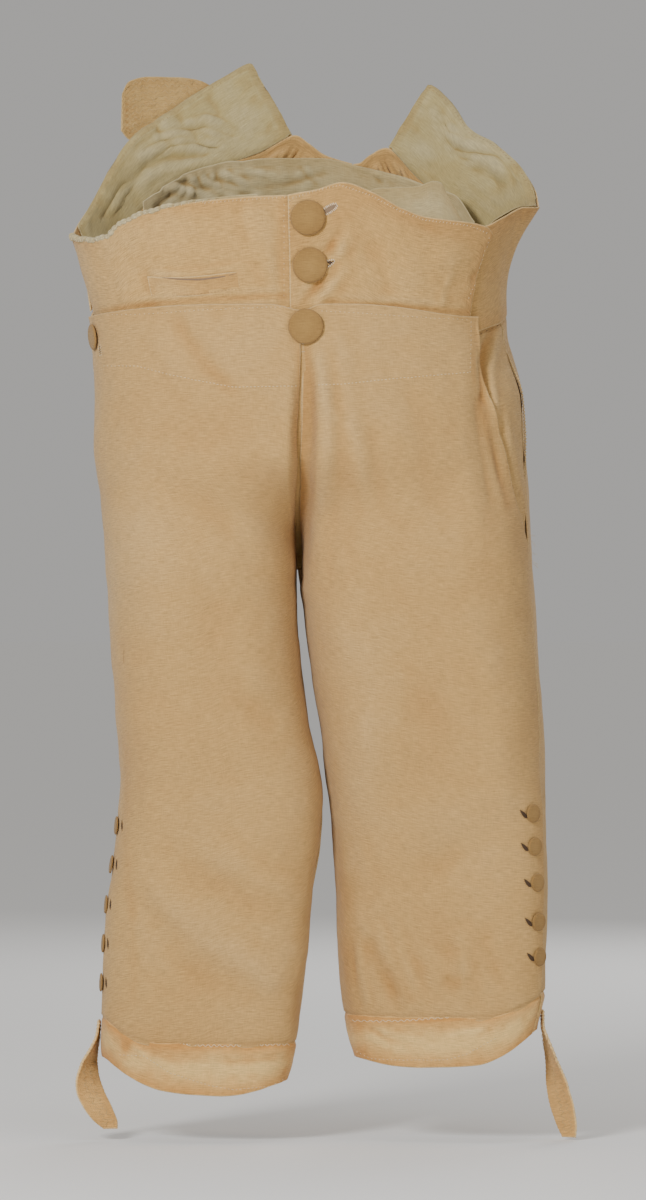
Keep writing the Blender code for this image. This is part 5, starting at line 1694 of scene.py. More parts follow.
# %% Back tab and pocket welt
# The tab, with the same columns, from its free end to the end sewn to the right back waistband
TAB = table("""
0 -0.143 0.108 0.129 -0.144 0.104 0.1
0.15 -0.138 0.11 0.1385 -0.137 0.106 0.093
0.35 -0.123 0.115 0.1427 -0.118 0.109 0.09
0.6 -0.101 0.119 0.1427 -0.095 0.109 0.088
0.8 -0.086 0.1222 0.141 -0.075 0.1085 0.088
1 -0.069 0.122 0.133 -0.056 0.1095 0.093
""")
QUILT_DEPTH, QUILT_ACROSS, QUILT_DOWN = 0.0003, 0.0042, 0.0046  # and the pitch of its dents
# The welt of the small pocket
WELT = 0.0012
WELT_SPAN = (0.530, 0.842)  # shares of the right front waistband
WELT_TOP_Z, WELT_SAG, WELT_RISE, WELT_HEIGHT = -0.0205, 0.0022, 0.0028, 0.0150


def tab():
    share, along = spaced(70, 0.085)[None, :], spaced(40, 0.045)[:, None]
    top, low = band_edges(TAB, share)
    points = top + (low - top) * along[..., None]
    inside = ease(0, 0.06, share) * ease(1, 0.94, share) * ease(0, 0.1, along) * ease(1, 0.9, along)
    quilting = QUILT_DEPTH * inside
    for axis, pitch in ((0, QUILT_ACROSS), (2, QUILT_DOWN)):
        quilting = quilting * np.sin(points[..., axis] * 2 * np.pi / pitch)
    thing = shell("tab", points, STRAP, "tab_cloth", from_axis, push=quilting, dents=(0.03, 0.0005))
    place_sheet(thing, "back_tab")
    return thing


def welt():
    share, along = spaced(80, 0.066, *WELT_SPAN)[None, :], spaced(20, 0.015)[:, None]
    run = (share - WELT_SPAN[0]) / (WELT_SPAN[1] - WELT_SPAN[0])
    top = WELT_TOP_Z - WELT_SAG * np.sin(np.pi * run) + WELT_RISE * run
    points = waist_skin(RIGHT, share, top - along * WELT_HEIGHT)
    gape = ease(0.55, 0.0, along) * ease(0.0, 0.2, run) * ease(1.0, 0.88, run)
    stand = 0.0002 + (WELT + SEAM_GAP) * gape * (0.85 + 0.3 * np.sin(run * 9.0))
    stand = stand - 0.0009 * ease(0.40, 0.05, run)
    thing = shell("welt", points, WELT, "band cloth", from_axis, -stand, None, (0.03, 0.0002))
    place_sheet(thing, "watch_pocket_welt")
    return thing


back_tab = tab()
pocket_welt = welt()

# %% [markdown]
# The buttons are discs of wood or card covered in the same cloth: flat faces with a crisp round edge.
# Each is a profile turned round its axis, with the cloth's pleats drawn in round the back.

# %% Covered buttons
BUTTON_SIDES = 64
PLEATS, PLEAT_DEPTH, PLEATED_FROM = 23, 0.006, 0.9  # of the cover, drawn in round the edge
WAIST_BUTTON_R, CORNER_BUTTON_R, KNEE_BUTTON_R = 0.0132, 0.0098, 0.0070
WAIST_BUTTONS = ((0.0016, 0.0219), (0.0031, -0.0134))  # x and z
FALL_BUTTON_Z = -0.0592
CORNER_BUTTON_SHARE, CORNER_BUTTON_Z = 0.145, -0.0640
KNEE_BUTTON_Z = {
    RIGHT: (-0.4329, -0.4625, -0.4928, -0.5223, -0.5519),
    LEFT: (-0.4225, -0.4474, -0.4745, -0.5039, -0.5304),
}
KNEE_BUTTON_SHARE = {
    RIGHT: (0.060, 0.050, 0.045, 0.045, 0.045),
    LEFT: (0.200, 0.195, 0.180, 0.170, 0.155),
}
# The half section of a button, from the middle of its face to that of its back: radius and height
DISC = (
    (0.00, 0.262), (0.25, 0.260), (0.50, 0.254), (0.70, 0.246), (0.84, 0.236), (0.92, 0.220),
    (0.965, 0.190),
    (0.990, 0.150), (1.00, 0.115), (0.988, 0.075), (0.95, 0.045), (0.80, 0.020), (0.45, 0.010),
    (0.0, 0.008),
)


def ring_faces(rings, sides, first=0):
    """Faces of four corners between rings of points that follow one another."""
    faces = []
    for start in range(first, first + (rings - 1) * sides, sides):
        for i in range(sides):
            j = (i + 1) % sides
            faces.append((start + i, start + j, start + sides + j, start + sides + i))
    return faces


def disc(name, radius, at, normal, node):
    """A covered button: a disc turned about its normal, its edge pleated a little."""
    turns = np.linspace(0, 2 * np.pi, BUTTON_SIDES, endpoint=False)
    places = []
    for count, (r, height) in enumerate(DISC):
        pleat = 1 + PLEAT_DEPTH * np.sin(turns * PLEATS + count) * (PLEATED_FROM < r)
        wave = 0.012 * np.sin(turns * 2 + radius * 900) * r
        for a, p, w in zip(turns, pleat, wave):
            wide = r * p * radius
            places.append((wide * math.cos(a), wide * math.sin(a), (height + w * 0.6) * radius))
    faces = [(a, d, c, b) for a, b, c, d in ring_faces(len(DISC), BUTTON_SIDES)]
    turn = Vector(normal).normalized().to_track_quat("Z", "Y").to_matrix()
    base = Vector(at) + Vector(normal).normalized() * SEAM_GAP
    thing = made_object(name, [base + turn @ Vector(p) for p in places], faces, FINISH["button"])
    x, y, z = np.array(places).T
    keep(thing, "grain", "FLOAT_VECTOR", np.stack([x, y + z, 0 * x], -1))
    # The distance from the rim feeds the painted shade, so each button darkens towards its rim
    keep(thing, "edge", "FLOAT", np.clip(radius - np.hypot(x, y), 0, EDGE_REACH))
    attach(thing, "root")
    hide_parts(node)


def skin_at(side, share, z, out):
    """A point of the outer skin and its outward normal."""
    step = 0.002
    at = skin(side, share, z)
    over = skin(side, share + step, z) - skin(side, share - step, z)
    along = skin(side, share, z + step) - skin(side, share, z - step)
    normal = unit(np.cross(over, along))
    return at, normal * np.sign(np.dot(normal, out(at)))


for count, (x, z) in enumerate(WAIST_BUTTONS, 1):
    at = waist_skin(LEFT, 1.0, z)
    disc(f"covered_waist_{count}", WAIST_BUTTON_R, (x, at[1], z), (0.02, -1, 0.03), f"waist_button_{count}")
at = skin(LEFT, 0.985, FALL_BUTTON_Z)
at = (0.0, at[1] - SEAM_GAP, FALL_BUTTON_Z)
disc("covered_fall_middle", WAIST_BUTTON_R, at, (0, -1, 0.04), "fall_button_middle")
at, normal = skin_at(RIGHT, CORNER_BUTTON_SHARE, CORNER_BUTTON_Z, from_axis)
disc("covered_fall_right", CORNER_BUTTON_R, at, normal, "fall_button_right")
for side in (RIGHT, LEFT):
    for count, (share, z) in enumerate(zip(KNEE_BUTTON_SHARE[side], KNEE_BUTTON_Z[side]), 1):
        at, normal = skin_at(side, share, z, from_leg(side))
        node = side_name("knee_button", side) + f"_{count}"
        disc(node.replace("knee_button", "covered_knee"), KNEE_BUTTON_R, at, normal, node)
print("14 covered buttons")

# %% [markdown]
# All of it is sewn by hand, and the stitches show: small running stitches hold the facings, whip stitches
# bind the edges, and coarse ones mend the side. A stitch is a short thread that dips into the cloth at
# both ends. Each line of sewing is read from the photograph and laid on the sheet that it crosses.

# %% Laying a line on the cloth
TREES = {}
CATCH = 0.012  # a line of sight that passes a piece's edge this close still catches it


def tree_of(thing):
    """A search tree of one piece's surface, made once."""
    if thing.name not in TREES:
        corners = [point.co for point in thing.data.vertices]
        TREES[thing.name] = BVHTree.FromPolygons(corners,
            [list(face.vertices) for face in thing.data.polygons])
    return TREES[thing.name]


def between(at, keys, rows):
    """Rows of three numbers, read in between at some keys."""
    return np.stack([np.interp(at, keys, np.asarray(rows)[:, i]) for i in range(3)], axis=-1)


def laid(thing, line, step):
    """Places along a line of the photograph's pixels on a piece, a step of metres apart, with normals."""
    corners = [sight(px, py) for px, py in line]
    lengths = [0.0]
    for a, b in zip(corners, corners[1:]):
        lengths.append(lengths[-1] + (b - a).length)
    count = max(int(lengths[-1] / step) + 1, 2)
    places, normals = [], []
    for target in between(np.arange(count) * step, lengths, corners):
        way = (Vector(target) - EYE).normalized()
        sheets = thing if isinstance(thing, list) else [thing]
        hits = [found for found in (tree_of(sheet).ray_cast(EYE, way) for sheet in sheets) if found[0]]
        if not hits:
            beside = [EYE + way * ((y - EYE.y) / way.y) for y in np.arange(-0.10, 0.10, 0.004)]
            hits = [tree_of(sheet).find_nearest(place, CATCH) for sheet in sheets for place in beside]
            hits = [found for found in hits if found[0]]
        if not hits:
            continue
        hit, normal, _, _ = min(hits, key=lambda found: found[3])
        if normal.dot(way) > 0:
            normal = -normal
        places.append(hit)
        normals.append(normal)
    return np.array(places), np.array(normals)


print("a line of ten pixels is laid at", len(laid(FRONTS[RIGHT], ((200, 500), (210, 500)), PIXEL)[0]),
    "places")

# %% [markdown]
# A stitch is a short thread with five sides. It is thinner at both ends, where it dips into the cloth,
# and arched between them. All the stitches of one kind of work go into one mesh, as thousands of small
# objects would slow everything down.

# %% Threads as meshes
THREAD_SIDES, THREAD_SUNK = 5, 0.35  # how deep a stitch lies in the cloth, in radii
THREAD_AT, THREAD_THICK = (0.0, 0.18, 0.5, 0.82, 1.0), (0.55, 0.95, 1.0, 0.95, 0.55)
STITCH_FACES = (len(THREAD_AT) - 1) * THREAD_SIDES + 2


def stitches_mesh(starts, ends, normals, radius):
    """Points and faces of many short threads, each arched over the cloth."""
    thick = radius * np.array(THREAD_THICK)
    t = np.array(THREAD_AT)
    rise = radius * (np.sin(np.pi * t) - THREAD_SUNK)
    along = ends - starts
    way = along / np.maximum(np.linalg.norm(along, axis=1, keepdims=True), 1e-9)
    side = np.cross(normals, way)
    middle = starts[:, None, :] + along[:, None, :] * t[None, :, None]
    middle = middle + normals[:, None, :] * rise[None, :, None]
    turns = np.arange(THREAD_SIDES) * 2 * np.pi / THREAD_SIDES
    ring = side[:, None, None, :] * np.cos(turns)[None, None, :, None]
    ring = ring + normals[:, None, None, :] * np.sin(turns)[None, None, :, None]
    places = middle[:, :, None, :] + ring * thick[None, :, None, None]
    faces, last = [], (len(t) - 1) * THREAD_SIDES
    for base in range(0, len(starts) * len(t) * THREAD_SIDES, len(t) * THREAD_SIDES):
        faces += ring_faces(len(t), THREAD_SIDES, base)
        faces.append(tuple(base + i for i in reversed(range(THREAD_SIDES))))
        faces.append(tuple(base + last + i for i in range(THREAD_SIDES)))
    return places.reshape(-1, 3), faces


def threads(name, parts, material):
    """One object of many stitches. parts are (starts, ends, normals, radius)."""
    places, faces = [], []
    for starts, ends, normals, radius in parts:
        more, sides = stitches_mesh(starts, ends, normals, radius)
        offset = sum(len(p) for p in places)
        places.append(more)
        faces += [tuple(i + offset for i in face) for face in sides]
    thing = made_object(name, np.concatenate(places), faces, material)
    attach(thing, "root")
    print(f"{name}: {len(faces) // STITCH_FACES} stitches")

# %% [markdown]
# Three stitches do nearly all the work: running stitches along a line, whip stitches slanting over an
# edge, and a zigzag where cloth is quilted or gathered in. Each is uneven by a little chance of its own,
# drawn from a numbered seed so that every run sews them alike.

# %% Kinds of stitch
def uneven(count, amount, seed):
    return np.random.default_rng(seed).normal(0, amount, (count, 1))


def sewn_line(thing, line, pitch):
    """Places a pitch apart on the cloth, their normals, and the ways along and across the line."""
    places, normals = laid(thing, line, pitch)
    way = unit(np.gradient(places, axis=0))
    return places, normals, way, np.cross(normals, way)


def running(thing, line, pitch=0.0032, length=0.0016, radius=0.00020, seed=1):
    """Small dashes along the line."""
    places, normals, way, side = sewn_line(thing, line, pitch)
    places = places + side * uneven(len(places), 0.00012, seed)
    half = length / 2 * (1 + uneven(len(places), 0.12, seed + 1))
    return places - way * half, places + way * half, normals, radius


def whipped(thing, line, pitch=0.0022, length=0.0019, lean=0.5, radius=0.00022, seed=2):
    """Short slanting threads across the line, as over an edge."""
    places, normals, way, side = sewn_line(thing, line, pitch)
    slant = unit(side + way * (lean + uneven(len(places), 0.10, seed)))
    half = length / 2 * (1 + uneven(len(places), 0.15, seed + 1))
    return places - slant * half, places + slant * half, normals, radius


def zigzag(thing, line, pitch=0.0019, width=0.0018, radius=0.00022, seed=3):
    """Threads that run to and fro across the line."""
    places, normals, way, side = sewn_line(thing, line, pitch)
    swing = np.where(np.arange(len(places)) % 2 == 0, 1.0, -1.0)[:, None] * width / 2
    ends = places + side * swing * (1 + uneven(len(places), 0.15, seed))
    return ends[:-1], ends[1:], normals[:-1], radius


def held_by(place, normal, way, length, radius):
    """One thread of its own, as a bar across a slit."""
    half = unit(np.array(way)) * length / 2
    return np.array([place - half]), np.array([place + half]), np.array([normal]), radius


print("a stitch has", STITCH_FACES, "faces")

# %% [markdown]
# The facings inside the fall are held by two rows of running stitches: one an inch down, and one close
# under its top edge.

# %% Sewing of the fall
(R_FRONT, L_FRONT), (R_BAND, L_BAND) = FRONTS.values(), BANDS.values()

threads("sewing_fall", [
    running(R_FRONT, path("104,366 137,366 167,374 211,383 232,387 296,386"), 0.0028, 0.0015, 0.00022),
    running(L_FRONT, path("319,385 344,384 389,379 450,374 470,372"), 0.0028, 0.0015, 0.00022),
    running(R_FRONT, path("108,315 146,314 200,310 270,307 290,307"), 0.0034, 0.0012, 0.00016),
    running(L_FRONT, path("322,311 360,313 400,316 470,320"), 0.0034, 0.0012, 0.00016),
    running(L_FRONT, path("471,322 471,345 470,372"), 0.0034, 0.0012, 0.00016),
], THREAD)

# %% [markdown]
# The waistbands are whipped along their top edges, where cloth and lining meet. The stitches of the welt
# are older and have gone brown.

# %% Sewing of the waistbands
threads("sewing_waistbands", [
    whipped(L_BAND, path("289.5,200 289.5,240 289,300"), 0.0030, 0.0013, 0.4, 0.00017),
    whipped(L_BAND, path("293,198 318,190 340,185 370,195 400,211 425,220 449,223 471,226 489,234"),
            0.0026, 0.0014, 0.5, 0.00018),
    whipped(R_BAND, path("205,203 240,200 285,197"), 0.0030, 0.0013, 0.5, 0.00017),
    running(L_BAND, path("489,238 484,262 475,284 468,300"), 0.0034, 0.0013, 0.00016),
    running(R_BAND, path("284,205 284,250 284,300"), 0.0040, 0.0012, 0.00015),
], THREAD)
threads("sewing_welt", [
    running(pocket_welt, path("153,296 190,295 237,289"), 0.0026, 0.0017, 0.00018),
    whipped(pocket_welt, path("240,273 239.5,289"), 0.0020, 0.0012, 0.5, 0.00018),
], BROWN_THREAD)

# %% [markdown]
# At the knees the leg's fullness is caught into the band by a zigzag, the band's lower edge is run round,
# and the straps are quilted lengthwise.

# %% Sewing of the knees
R_KNEE, L_KNEE = KNEE_BANDS.values()
threads("sewing_knees", [
    zigzag(R_KNEE, path("186,1045 226,1046 292,1044"), 0.0021, 0.0019, 0.00028),
    running(R_KNEE, path("123,1021 148,1036 188,1045"), 0.0026, 0.0017, 0.00024),
    zigzag(L_KNEE, path("352,1021 400,1021 465,1016 500,1004"), 0.0023, 0.0016, 0.00026),
    running(R_KNEE, path("120,1055 144,1056 170,1073 204,1084 233,1090 271,1086 285,1078"), 0.0030,
        0.0016, 0.00018),
    running(L_KNEE, path("357,1052 372,1059 400,1060 445,1060 467,1054 498,1037"), 0.0030, 0.0016, 0.00018),
], THREAD)
for side, ribs in ((RIGHT, path("104,1034 93,1056 88,1072 90,1088 101,1108 112,1124")),
                   (LEFT, path("530,1010 544,1040 556,1068 561,1092 566,1112 569,1132"))):
    threads(side_name("sewing_strap", side), [
        zigzag(KNEE_STRAPS[side], [(x + dx, y) for x, y in ribs], 0.0024, 0.0036, 0.00020,
            5 + dx) for dx in (-4, 3)
    ], TAB_THREAD)

# %% [markdown]
# Inside, the linings are whipped to the peaks' edges and run along the seat's seam, with the same brown
# thread. The tab is quilted from side to side in close rows.

# %% Sewing of the linings and the tab
R_LINING, L_LINING = BACK_LININGS.values()
threads("sewing_linings", [
    running(R_LINING, path("288,139 275,145 262,152 242,159 225,166 198,174 176,178"), 0.0040, 0.0014,
        0.00018),
    whipped(R_LINING, path("253,70 260,82 270,96 288,124"), 0.0026, 0.0013, 0.5, 0.00018),
    whipped(R_LINING, path("249,69 215,86 178,110 134,141 116,165 100,197 76,234"), 0.0034, 0.0014, 0.6,
        0.00018),
    running(L_LINING, path("391,153 406,166 424,182"), 0.0034, 0.0014, 0.00018),
    whipped(L_LINING, path("427,90 417,108 407,124 394,143"), 0.0026, 0.0013, 0.5, 0.00018),
    whipped(L_LINING, path("430,88 442,97 456,113 470,134 487,141 502,151 521,172 533,192"), 0.0030,
        0.0014, 0.6, 0.00018),
], BROWN_THREAD)
threads("sewing_tab", [
    zigzag(back_tab, ((128, 84 + dy), (150, 80 + dy), (176, 80 + dy), (205, 83 + dy)), 0.0028, 0.0030,
        0.00022, 9 + dy) for dy in range(0, 54, 6)
], TAB_THREAD)

# %% [markdown]
# Coarse stitches of the same brown thread mend the side where the fall's corner has pulled at it.

# %% Sewing of the side
threads("sewing_side", [
    running(side_piece, path("476,337 485,332 494,327 502,324"), 0.0046, 0.0030, 0.00034),
], BROWN_THREAD)

# %% [markdown]
# A buttonhole is a slit whose raw edges are bound with close stitches, and each button pulls its own
# open into a small dark triangle. The hole is a narrow lens of painted shadow laid on the cloth, and the
# bound edge is threads set radially round it.

# %% A worked slit
HOLE_POINTS = 13
# The lens is painted shadow
HOLE_LIFT, HOLE_MARGIN = 0.00012, 0.00005  # how far the dark lens lies above the cloth and under its binding


def hole(
    name, line, width, thread, pitch=0.0011, reach=0.0022, radius=0.00024, point=0.5, bound=True,
    inside=SLIT_SHADOW,
):
    """A worked slit along places and normals. width is its widest, at a share of its length."""
    places, normals = line[0][:HOLE_POINTS], line[1][:HOLE_POINTS]
    way = places[-1] - places[0]
    length = np.linalg.norm(way)
    way = way / length
    t = np.linspace(0, 1, len(places))
    opens, closes = np.pi / 2 * t / point, np.pi / 2 * (t - point) / (1 - point)
    wide = np.where(t < point, np.sin(opens), np.cos(closes)) ** 0.8
    side = unit(np.cross(normals, way))
    over = places + normals * HOLE_LIFT
    half = side * (width / 2 * wide + HOLE_MARGIN)[:, None]
    count = len(places)
    faces = [(i, i + 1, count + i + 1, count + i) for i in range(count - 1)]
    made = made_object(name, np.concatenate([over + half, over - half]), faces, inside, smooth=False)
    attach(made, "root")
    if not bound:
        return
    steps = max(int(length / pitch), 3)
    at = np.linspace(0.02, 0.98, steps)
    parts = []
    for sign in (1, -1):
        edge = between(at, t, places + sign * side * (width / 2 * wide)[:, None])
        out = between(at, t, side) * sign
        tilt = way * uneven(steps, 0.18, steps)
        ends = edge + (out + tilt) * reach * (1 + uneven(steps, 0.1, 4))
        parts.append((edge - out * 0.0002, ends, between(at, t, normals), radius))
    threads(name + "_edge", parts, thread)


def slit_on(thing, points):
    """A slit's line, laid on one piece through pixels of the photograph."""
    line = path(points)
    whole = sum((sight(*a) - sight(*b)).length for a, b in zip(line, line[1:]))
    return laid(thing, line, whole / (HOLE_POINTS - 1))


def settled(sheets, places, out):
    """The nearest points of some sheets to given places, with normals that face outward."""
    found = [
        min((tree_of(sheet).find_nearest(Vector(place)) for sheet in sheets), key=lambda f: f[3])
        for place in places
    ]
    at, away = np.array([f[0] for f in found]), np.array([f[1] for f in found])
    turned = np.sum(away * out(at), axis=1, keepdims=True)
    return at, away * np.where(turned < 0, -1.0, 1.0)


print("a slit is laid through", HOLE_POINTS, "places")

# %% [markdown]
# The holes that show lie beside their buttons. Those of the left side and the waist are read from the
# photograph. The right knee is seen edge on, so there each hole is placed from its button on the leg.
# The mouth of the watch pocket is the same lens of painted shadow without a binding.

# %% Buttonholes
KNEE_HOLE = (0.0030, BROWN_THREAD, 0.0012, 0.0010, 0.0002)
KNEE_HOLES_LEFT = path("531,812 532,845 535,881 536,920 538,955")  # where each left knee button sits
KNEE_HOLE_SHARE, KNEE_HOLE_RUN = 0.060, 0.012  # from a right knee button to its hole, and along the hole
KNEE_HOLE_RISE, KNEE_HOLE_FALL = 0.0045, 0.0080

line = slit_on(L_BAND, "318,216 337,204.5")
hole("buttonhole_waist_1", line, 0.0036, PALE_THREAD, 0.0012, 0.0016, 0.00030, 0.6, inside=SHADE)
line = slit_on(L_BAND, "320,267.5 334.5,260.5")
hole("buttonhole_waist_2", line, 0.0036, PALE_THREAD, 0.0012, 0.0014, 0.00030, 0.35)
hole("buttonhole_fall_right", slit_on(R_FRONT, "99.5,345 100.5,355"), 0.0016, THREAD)
line = slit_on(pocket_welt, "157,277.2 180,279.2 200,279.6 222,276.8 237,273.4")
hole("pocket_mouth_front", line, 0.0014, THREAD, bound=False, inside=SHADE)
for count, (x, y) in enumerate(KNEE_HOLES_LEFT, 1):
    line = slit_on(L_FRONT, f"{x - 11},{y - 2} {x - 4},{y + 6}")
    hole(f"buttonhole_knee_left_{count}", line, *KNEE_HOLE, 0.7)
for count, (share, z) in enumerate(zip(KNEE_BUTTON_SHARE[RIGHT], KNEE_BUTTON_Z[RIGHT]), 1):
    down = np.linspace(0, 1, HOLE_POINTS)
    at = skin(RIGHT, share + KNEE_HOLE_SHARE + KNEE_HOLE_RUN * down,
        z + KNEE_HOLE_RISE - KNEE_HOLE_FALL * down)
    hole(f"buttonhole_knee_right_{count}", settled([R_FRONT], at, from_leg(RIGHT)), *KNEE_HOLE, 0.6)

# %% [markdown]
# The lining of the right front is turned over the waistband's top edge in a thick roll and whipped down.
# A tube along that edge, with lumps where each stitch pulls it in, gives the roll, and the threads that
# cross it follow the same lumps.

# %% Rolled edge of the lining
ROLL_RADIUS, ROLL_SIDES, ROLL_RINGS, ROLL_END = 0.0023, 14, 520, 6
ROLL_STITCH, ROLL_LUMP, ROLL_WANDER = 0.0052, 0.013, 0.021  # pitches of its stitches, lumps and waves
ROLL_THINS = 0.72  # how much thinner it is at its front end
ROLL_EVERY = 13  # rings from one stitch to the next
ROLL_LEAN = 0.5


def rolled_edge():
    shares = np.linspace(-0.012, 0.80, ROLL_RINGS)
    line = waist_skin(RIGHT, shares, pairs(WAIST_TOP_RIGHT, shares) + 0.0006)
    away = unit(from_axis(line))
    line = line - away * (CLOTH * 0.6)
    passed = np.concatenate([[0], np.cumsum(np.linalg.norm(np.diff(line, axis=0), axis=1))])
    turn = passed * 2 * np.pi
    fade = 1 - ROLL_THINS * ease(0.12, passed[-1], passed)
    lumps = 1 + 0.16 * np.sin(turn / ROLL_STITCH + 1.5 * np.sin(passed * 60))
    lumps = lumps + 0.10 * np.sin(turn / ROLL_LUMP)
    size = ROLL_RADIUS * fade * lumps
    size[:ROLL_END] *= np.linspace(0.3, 1, ROLL_END)
    size[-ROLL_END:] *= np.linspace(1, 0.3, ROLL_END)
    line[:, 2] += 0.0005 * np.sin(turn / ROLL_WANDER) * fade
    tangent = unit(np.gradient(line, axis=0))
    upward = np.cross(away, tangent)
    upward *= np.sign(upward[:, 2:])
    turns = np.linspace(0, 2 * np.pi, ROLL_SIDES, endpoint=False)
    ring = away[:, None, :] * np.cos(turns)[None, :, None] * 1.05
    ring = ring + upward[:, None, :] * np.sin(turns)[None, :, None] * 0.9
    places = line[:, None, :] + ring * size[:, None, None]
    last = ROLL_SIDES * (ROLL_RINGS - 1)
    faces = ring_faces(ROLL_RINGS, ROLL_SIDES)
    faces += [tuple(range(ROLL_SIDES)), tuple(last + i for i in reversed(range(ROLL_SIDES)))]
    thing = made_object("lining_roll_right", places.reshape(-1, 3), faces, FINISH["lining"])
    down = np.repeat(passed, ROLL_SIDES)
    grain = np.stack([down, np.tile(turns * ROLL_RADIUS, ROLL_RINGS), 0 * down], -1)
    keep(thing, "grain", "FLOAT_VECTOR", grain)
    keep(thing, "edge", "FLOAT", np.full(len(down), 0.02))
    # Painted highlight on each lump of the roll, and painted shade between them
    keep(thing, "crease", "FLOAT", np.repeat((lumps - 1) * 3, ROLL_SIDES))
    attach(thing, "root")
    line, away, tangent, upward, size = (rows[::ROLL_EVERY] for rows in (line, away, tangent, upward, size))
    places = line + away * (size * 0.9)[:, None] - np.array([0, 0, 0.0008])
    half = unit(tangent * ROLL_LEAN + upward) * 0.0013
    threads("sewing_roll", [(places - half, places + half, away, 0.00022)], THREAD)
    print("rolled edge:", round(float(passed[-1]), 3), "m")


rolled_edge()

# %% [markdown]
# At the left hip the pocket mouth gapes: a thin edge of the back stands a little outside the front, with
# a line of painted shadow between. Below it the seam has worn through, and a few threads have come loose.

# %% Pocket mouth and loose threads
POCKET_TOP_Z, POCKET_LOW_Z = -0.074, -0.172
POCKET_SHARE = 0.008  # the dark line and the standing edge lie this far to either side of the seam
PIPING_POINTS = 40
LOOSE_STARTS = path("531,536 532,541 533,552 534,560 534,563")
LOOSE_BITS, LOOSE_BIT = 4, 0.0016  # a loose thread is four short pieces, each bent from the last


def beside_seam(sheets, count, offset):
    """Places down the pocket, a little to one side of the seam."""
    z = np.linspace(POCKET_TOP_Z, POCKET_LOW_Z, count)
    return settled(sheets, skin(LEFT, outseam(LEFT, z) + offset, z), from_leg(LEFT))


def mouth():
    sides = [L_FRONT, BACKS[LEFT], side_piece]
    hole("pocket_mouth", beside_seam(sides, HOLE_POINTS, POCKET_SHARE), 0.0030, THREAD, bound=False)
    at, away = beside_seam(sides, PIPING_POINTS, -POCKET_SHARE)
    at = at + away * (0.0018 * np.sin(np.pi * np.linspace(0, 1, PIPING_POINTS)) - 0.0004)[:, None]
    threads("pocket_edge", [(at[:-1], at[1:], away[:-1], 0.0007)], PIPING)
    chance = np.random.default_rng(8)
    parts = []
    for start in LOOSE_STARTS:
        place, normal = laid(sides, (start, (start[0], start[1] + 1)), 0.0005)
        at, way = place[0], np.array([chance.uniform(0.2, 0.7), -0.2, chance.uniform(-1.0, 0.3)])
        for bit in range(LOOSE_BITS):
            way = unit(way)
            end = at + way * LOOSE_BIT
            parts.append((np.array([at]), np.array([end]), np.array([[0.0, -1.0, 0.0]]), 0.00016))
            at = end
            way = way + chance.normal(0, 0.4, 3)
    threads("loose_threads", parts, THREAD)


mouth()

# %% [markdown]
# A few single threads are left: a long one that has slipped out down the right leg, ends of old mending,
# and two bars worked across the slit below the middle button, where it would tear first.

# %% Stray threads and bars
STRAYS = (
    (R_FRONT, 124, 652, 0.017, 0.00014), (R_FRONT, 228, 613, 0.0010, 0.0003),
    (L_FRONT, 427, 701, 0.0012, 0.0003), (L_FRONT, 375, 488, 0.0010, 0.0003),
    (L_FRONT, 483, 510, 0.0012, 0.0002), (L_FRONT, 484, 521, 0.0014, 0.0002),
)
marks = []
for thing, x, y, length, radius in STRAYS:
    place, normal = laid(thing, ((x, y), (x, y + 1)), 0.0005)
    marks.append(held_by(place[0] - np.array([0, 0.0001, 0]), normal[0], (0.05, 0, 1), length, radius))
threads("stray_threads", marks, BROWN_THREAD)
bars = [
    held_by(place - np.array([0, 0.001, 0]), normal, (1, 0, 0.05), 0.0035, 0.00025)
    for place, normal in zip(*laid(L_FRONT, path("300,344 300,352"), 0.006))
]
threads("bars_below_fall_button", bars, THREAD)

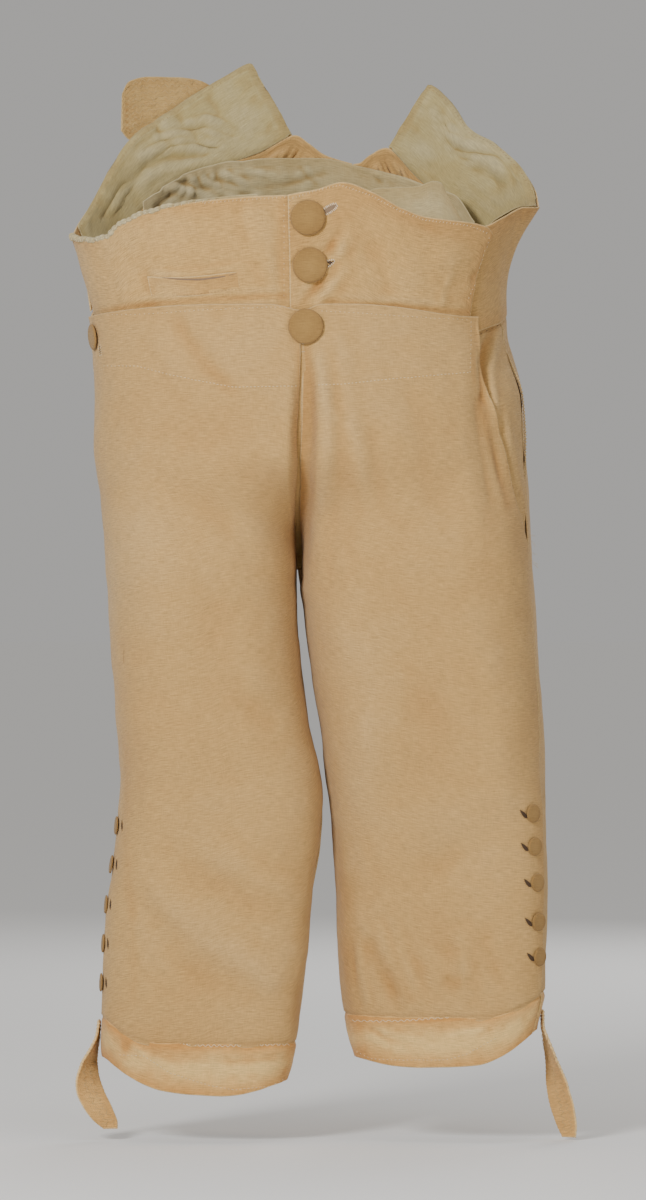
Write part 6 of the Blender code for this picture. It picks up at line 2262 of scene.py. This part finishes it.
# %% [markdown]
# The garment hangs in a plain room. The floor is a pale disc so wide that its edge lies at the horizon,
# and it glows a little, so that it reads as a plain backdrop. The main light is small and stands near, at
# the front and to the left, for crisp folds; a larger, weaker one fills the right, and two more light the
# top and the back. The room's own dim light opens the shadows.

# %% Floor and lights
FLOOR_Z = solid_box[0].z - 0.002
FLOOR_RADIUS, FLOOR_CORNERS = 60, 48
PAINT = {
    "Roughness": 0.8, "Specular IOR Level": 0.0, "Base Color": (0.62, 0.615, 0.605, 1),
    "Emission Color": (1.0, 0.98, 0.95, 1), "Emission Strength": 0.16,
}


def floor():
    turns = np.arange(FLOOR_CORNERS) * 2 * np.pi / FLOOR_CORNERS
    places = [(FLOOR_RADIUS * math.cos(a), FLOOR_RADIUS * math.sin(a), FLOOR_Z) for a in turns]
    paint = new_material("pale floor", PAINT)[0]
    made = made_object("floor", places, [tuple(range(FLOOR_CORNERS))], paint, smooth=False)


def lamp(name, place, aim, size, power):
    made = bpy.data.objects.new(name, bpy.data.lights.new(name, "AREA"))
    bpy.context.scene.collection.objects.link(made)
    made.data.shape = "DISK"
    made.data.size = size
    made.data.energy = power
    made.location = place
    made.rotation_euler = (Vector(aim) - Vector(place)).to_track_quat("-Z", "Y").to_euler()


floor()
lamp("key", (-1.0, -2.1, 0.7), (0, 0, -0.56), 0.6, 60)
lamp("fill", (1.4, -2.1, -0.7), (0, 0, -0.52), 1.2, 34)
lamp("top", (0.2, -0.5, 2.0), (0, 0, 0), 1.0, 10)
lamp("back", (0.9, 2.6, 0.9), (0, 0, -0.30), 1.6, 30)
world = bpy.data.worlds.new("room")
world.use_nodes = True
room = world.node_tree.nodes["Background"].inputs
room["Color"].default_value = (1.0, 0.98, 0.95, 1)
room["Strength"].default_value = 0.42
bpy.context.scene.world = world
print("floor at", round(FLOOR_Z, 3), "m, with", len(bpy.data.lights), "lights")

# %% [markdown]
# Last, the box of the plain part is printed. The box round the dressed garment should differ from it by
# no more than a few millimetres, or the looks have grown past the part that they dress.

# %% Sizes
print("solid", [[round(v, 4) for v in c] for c in solid_box])
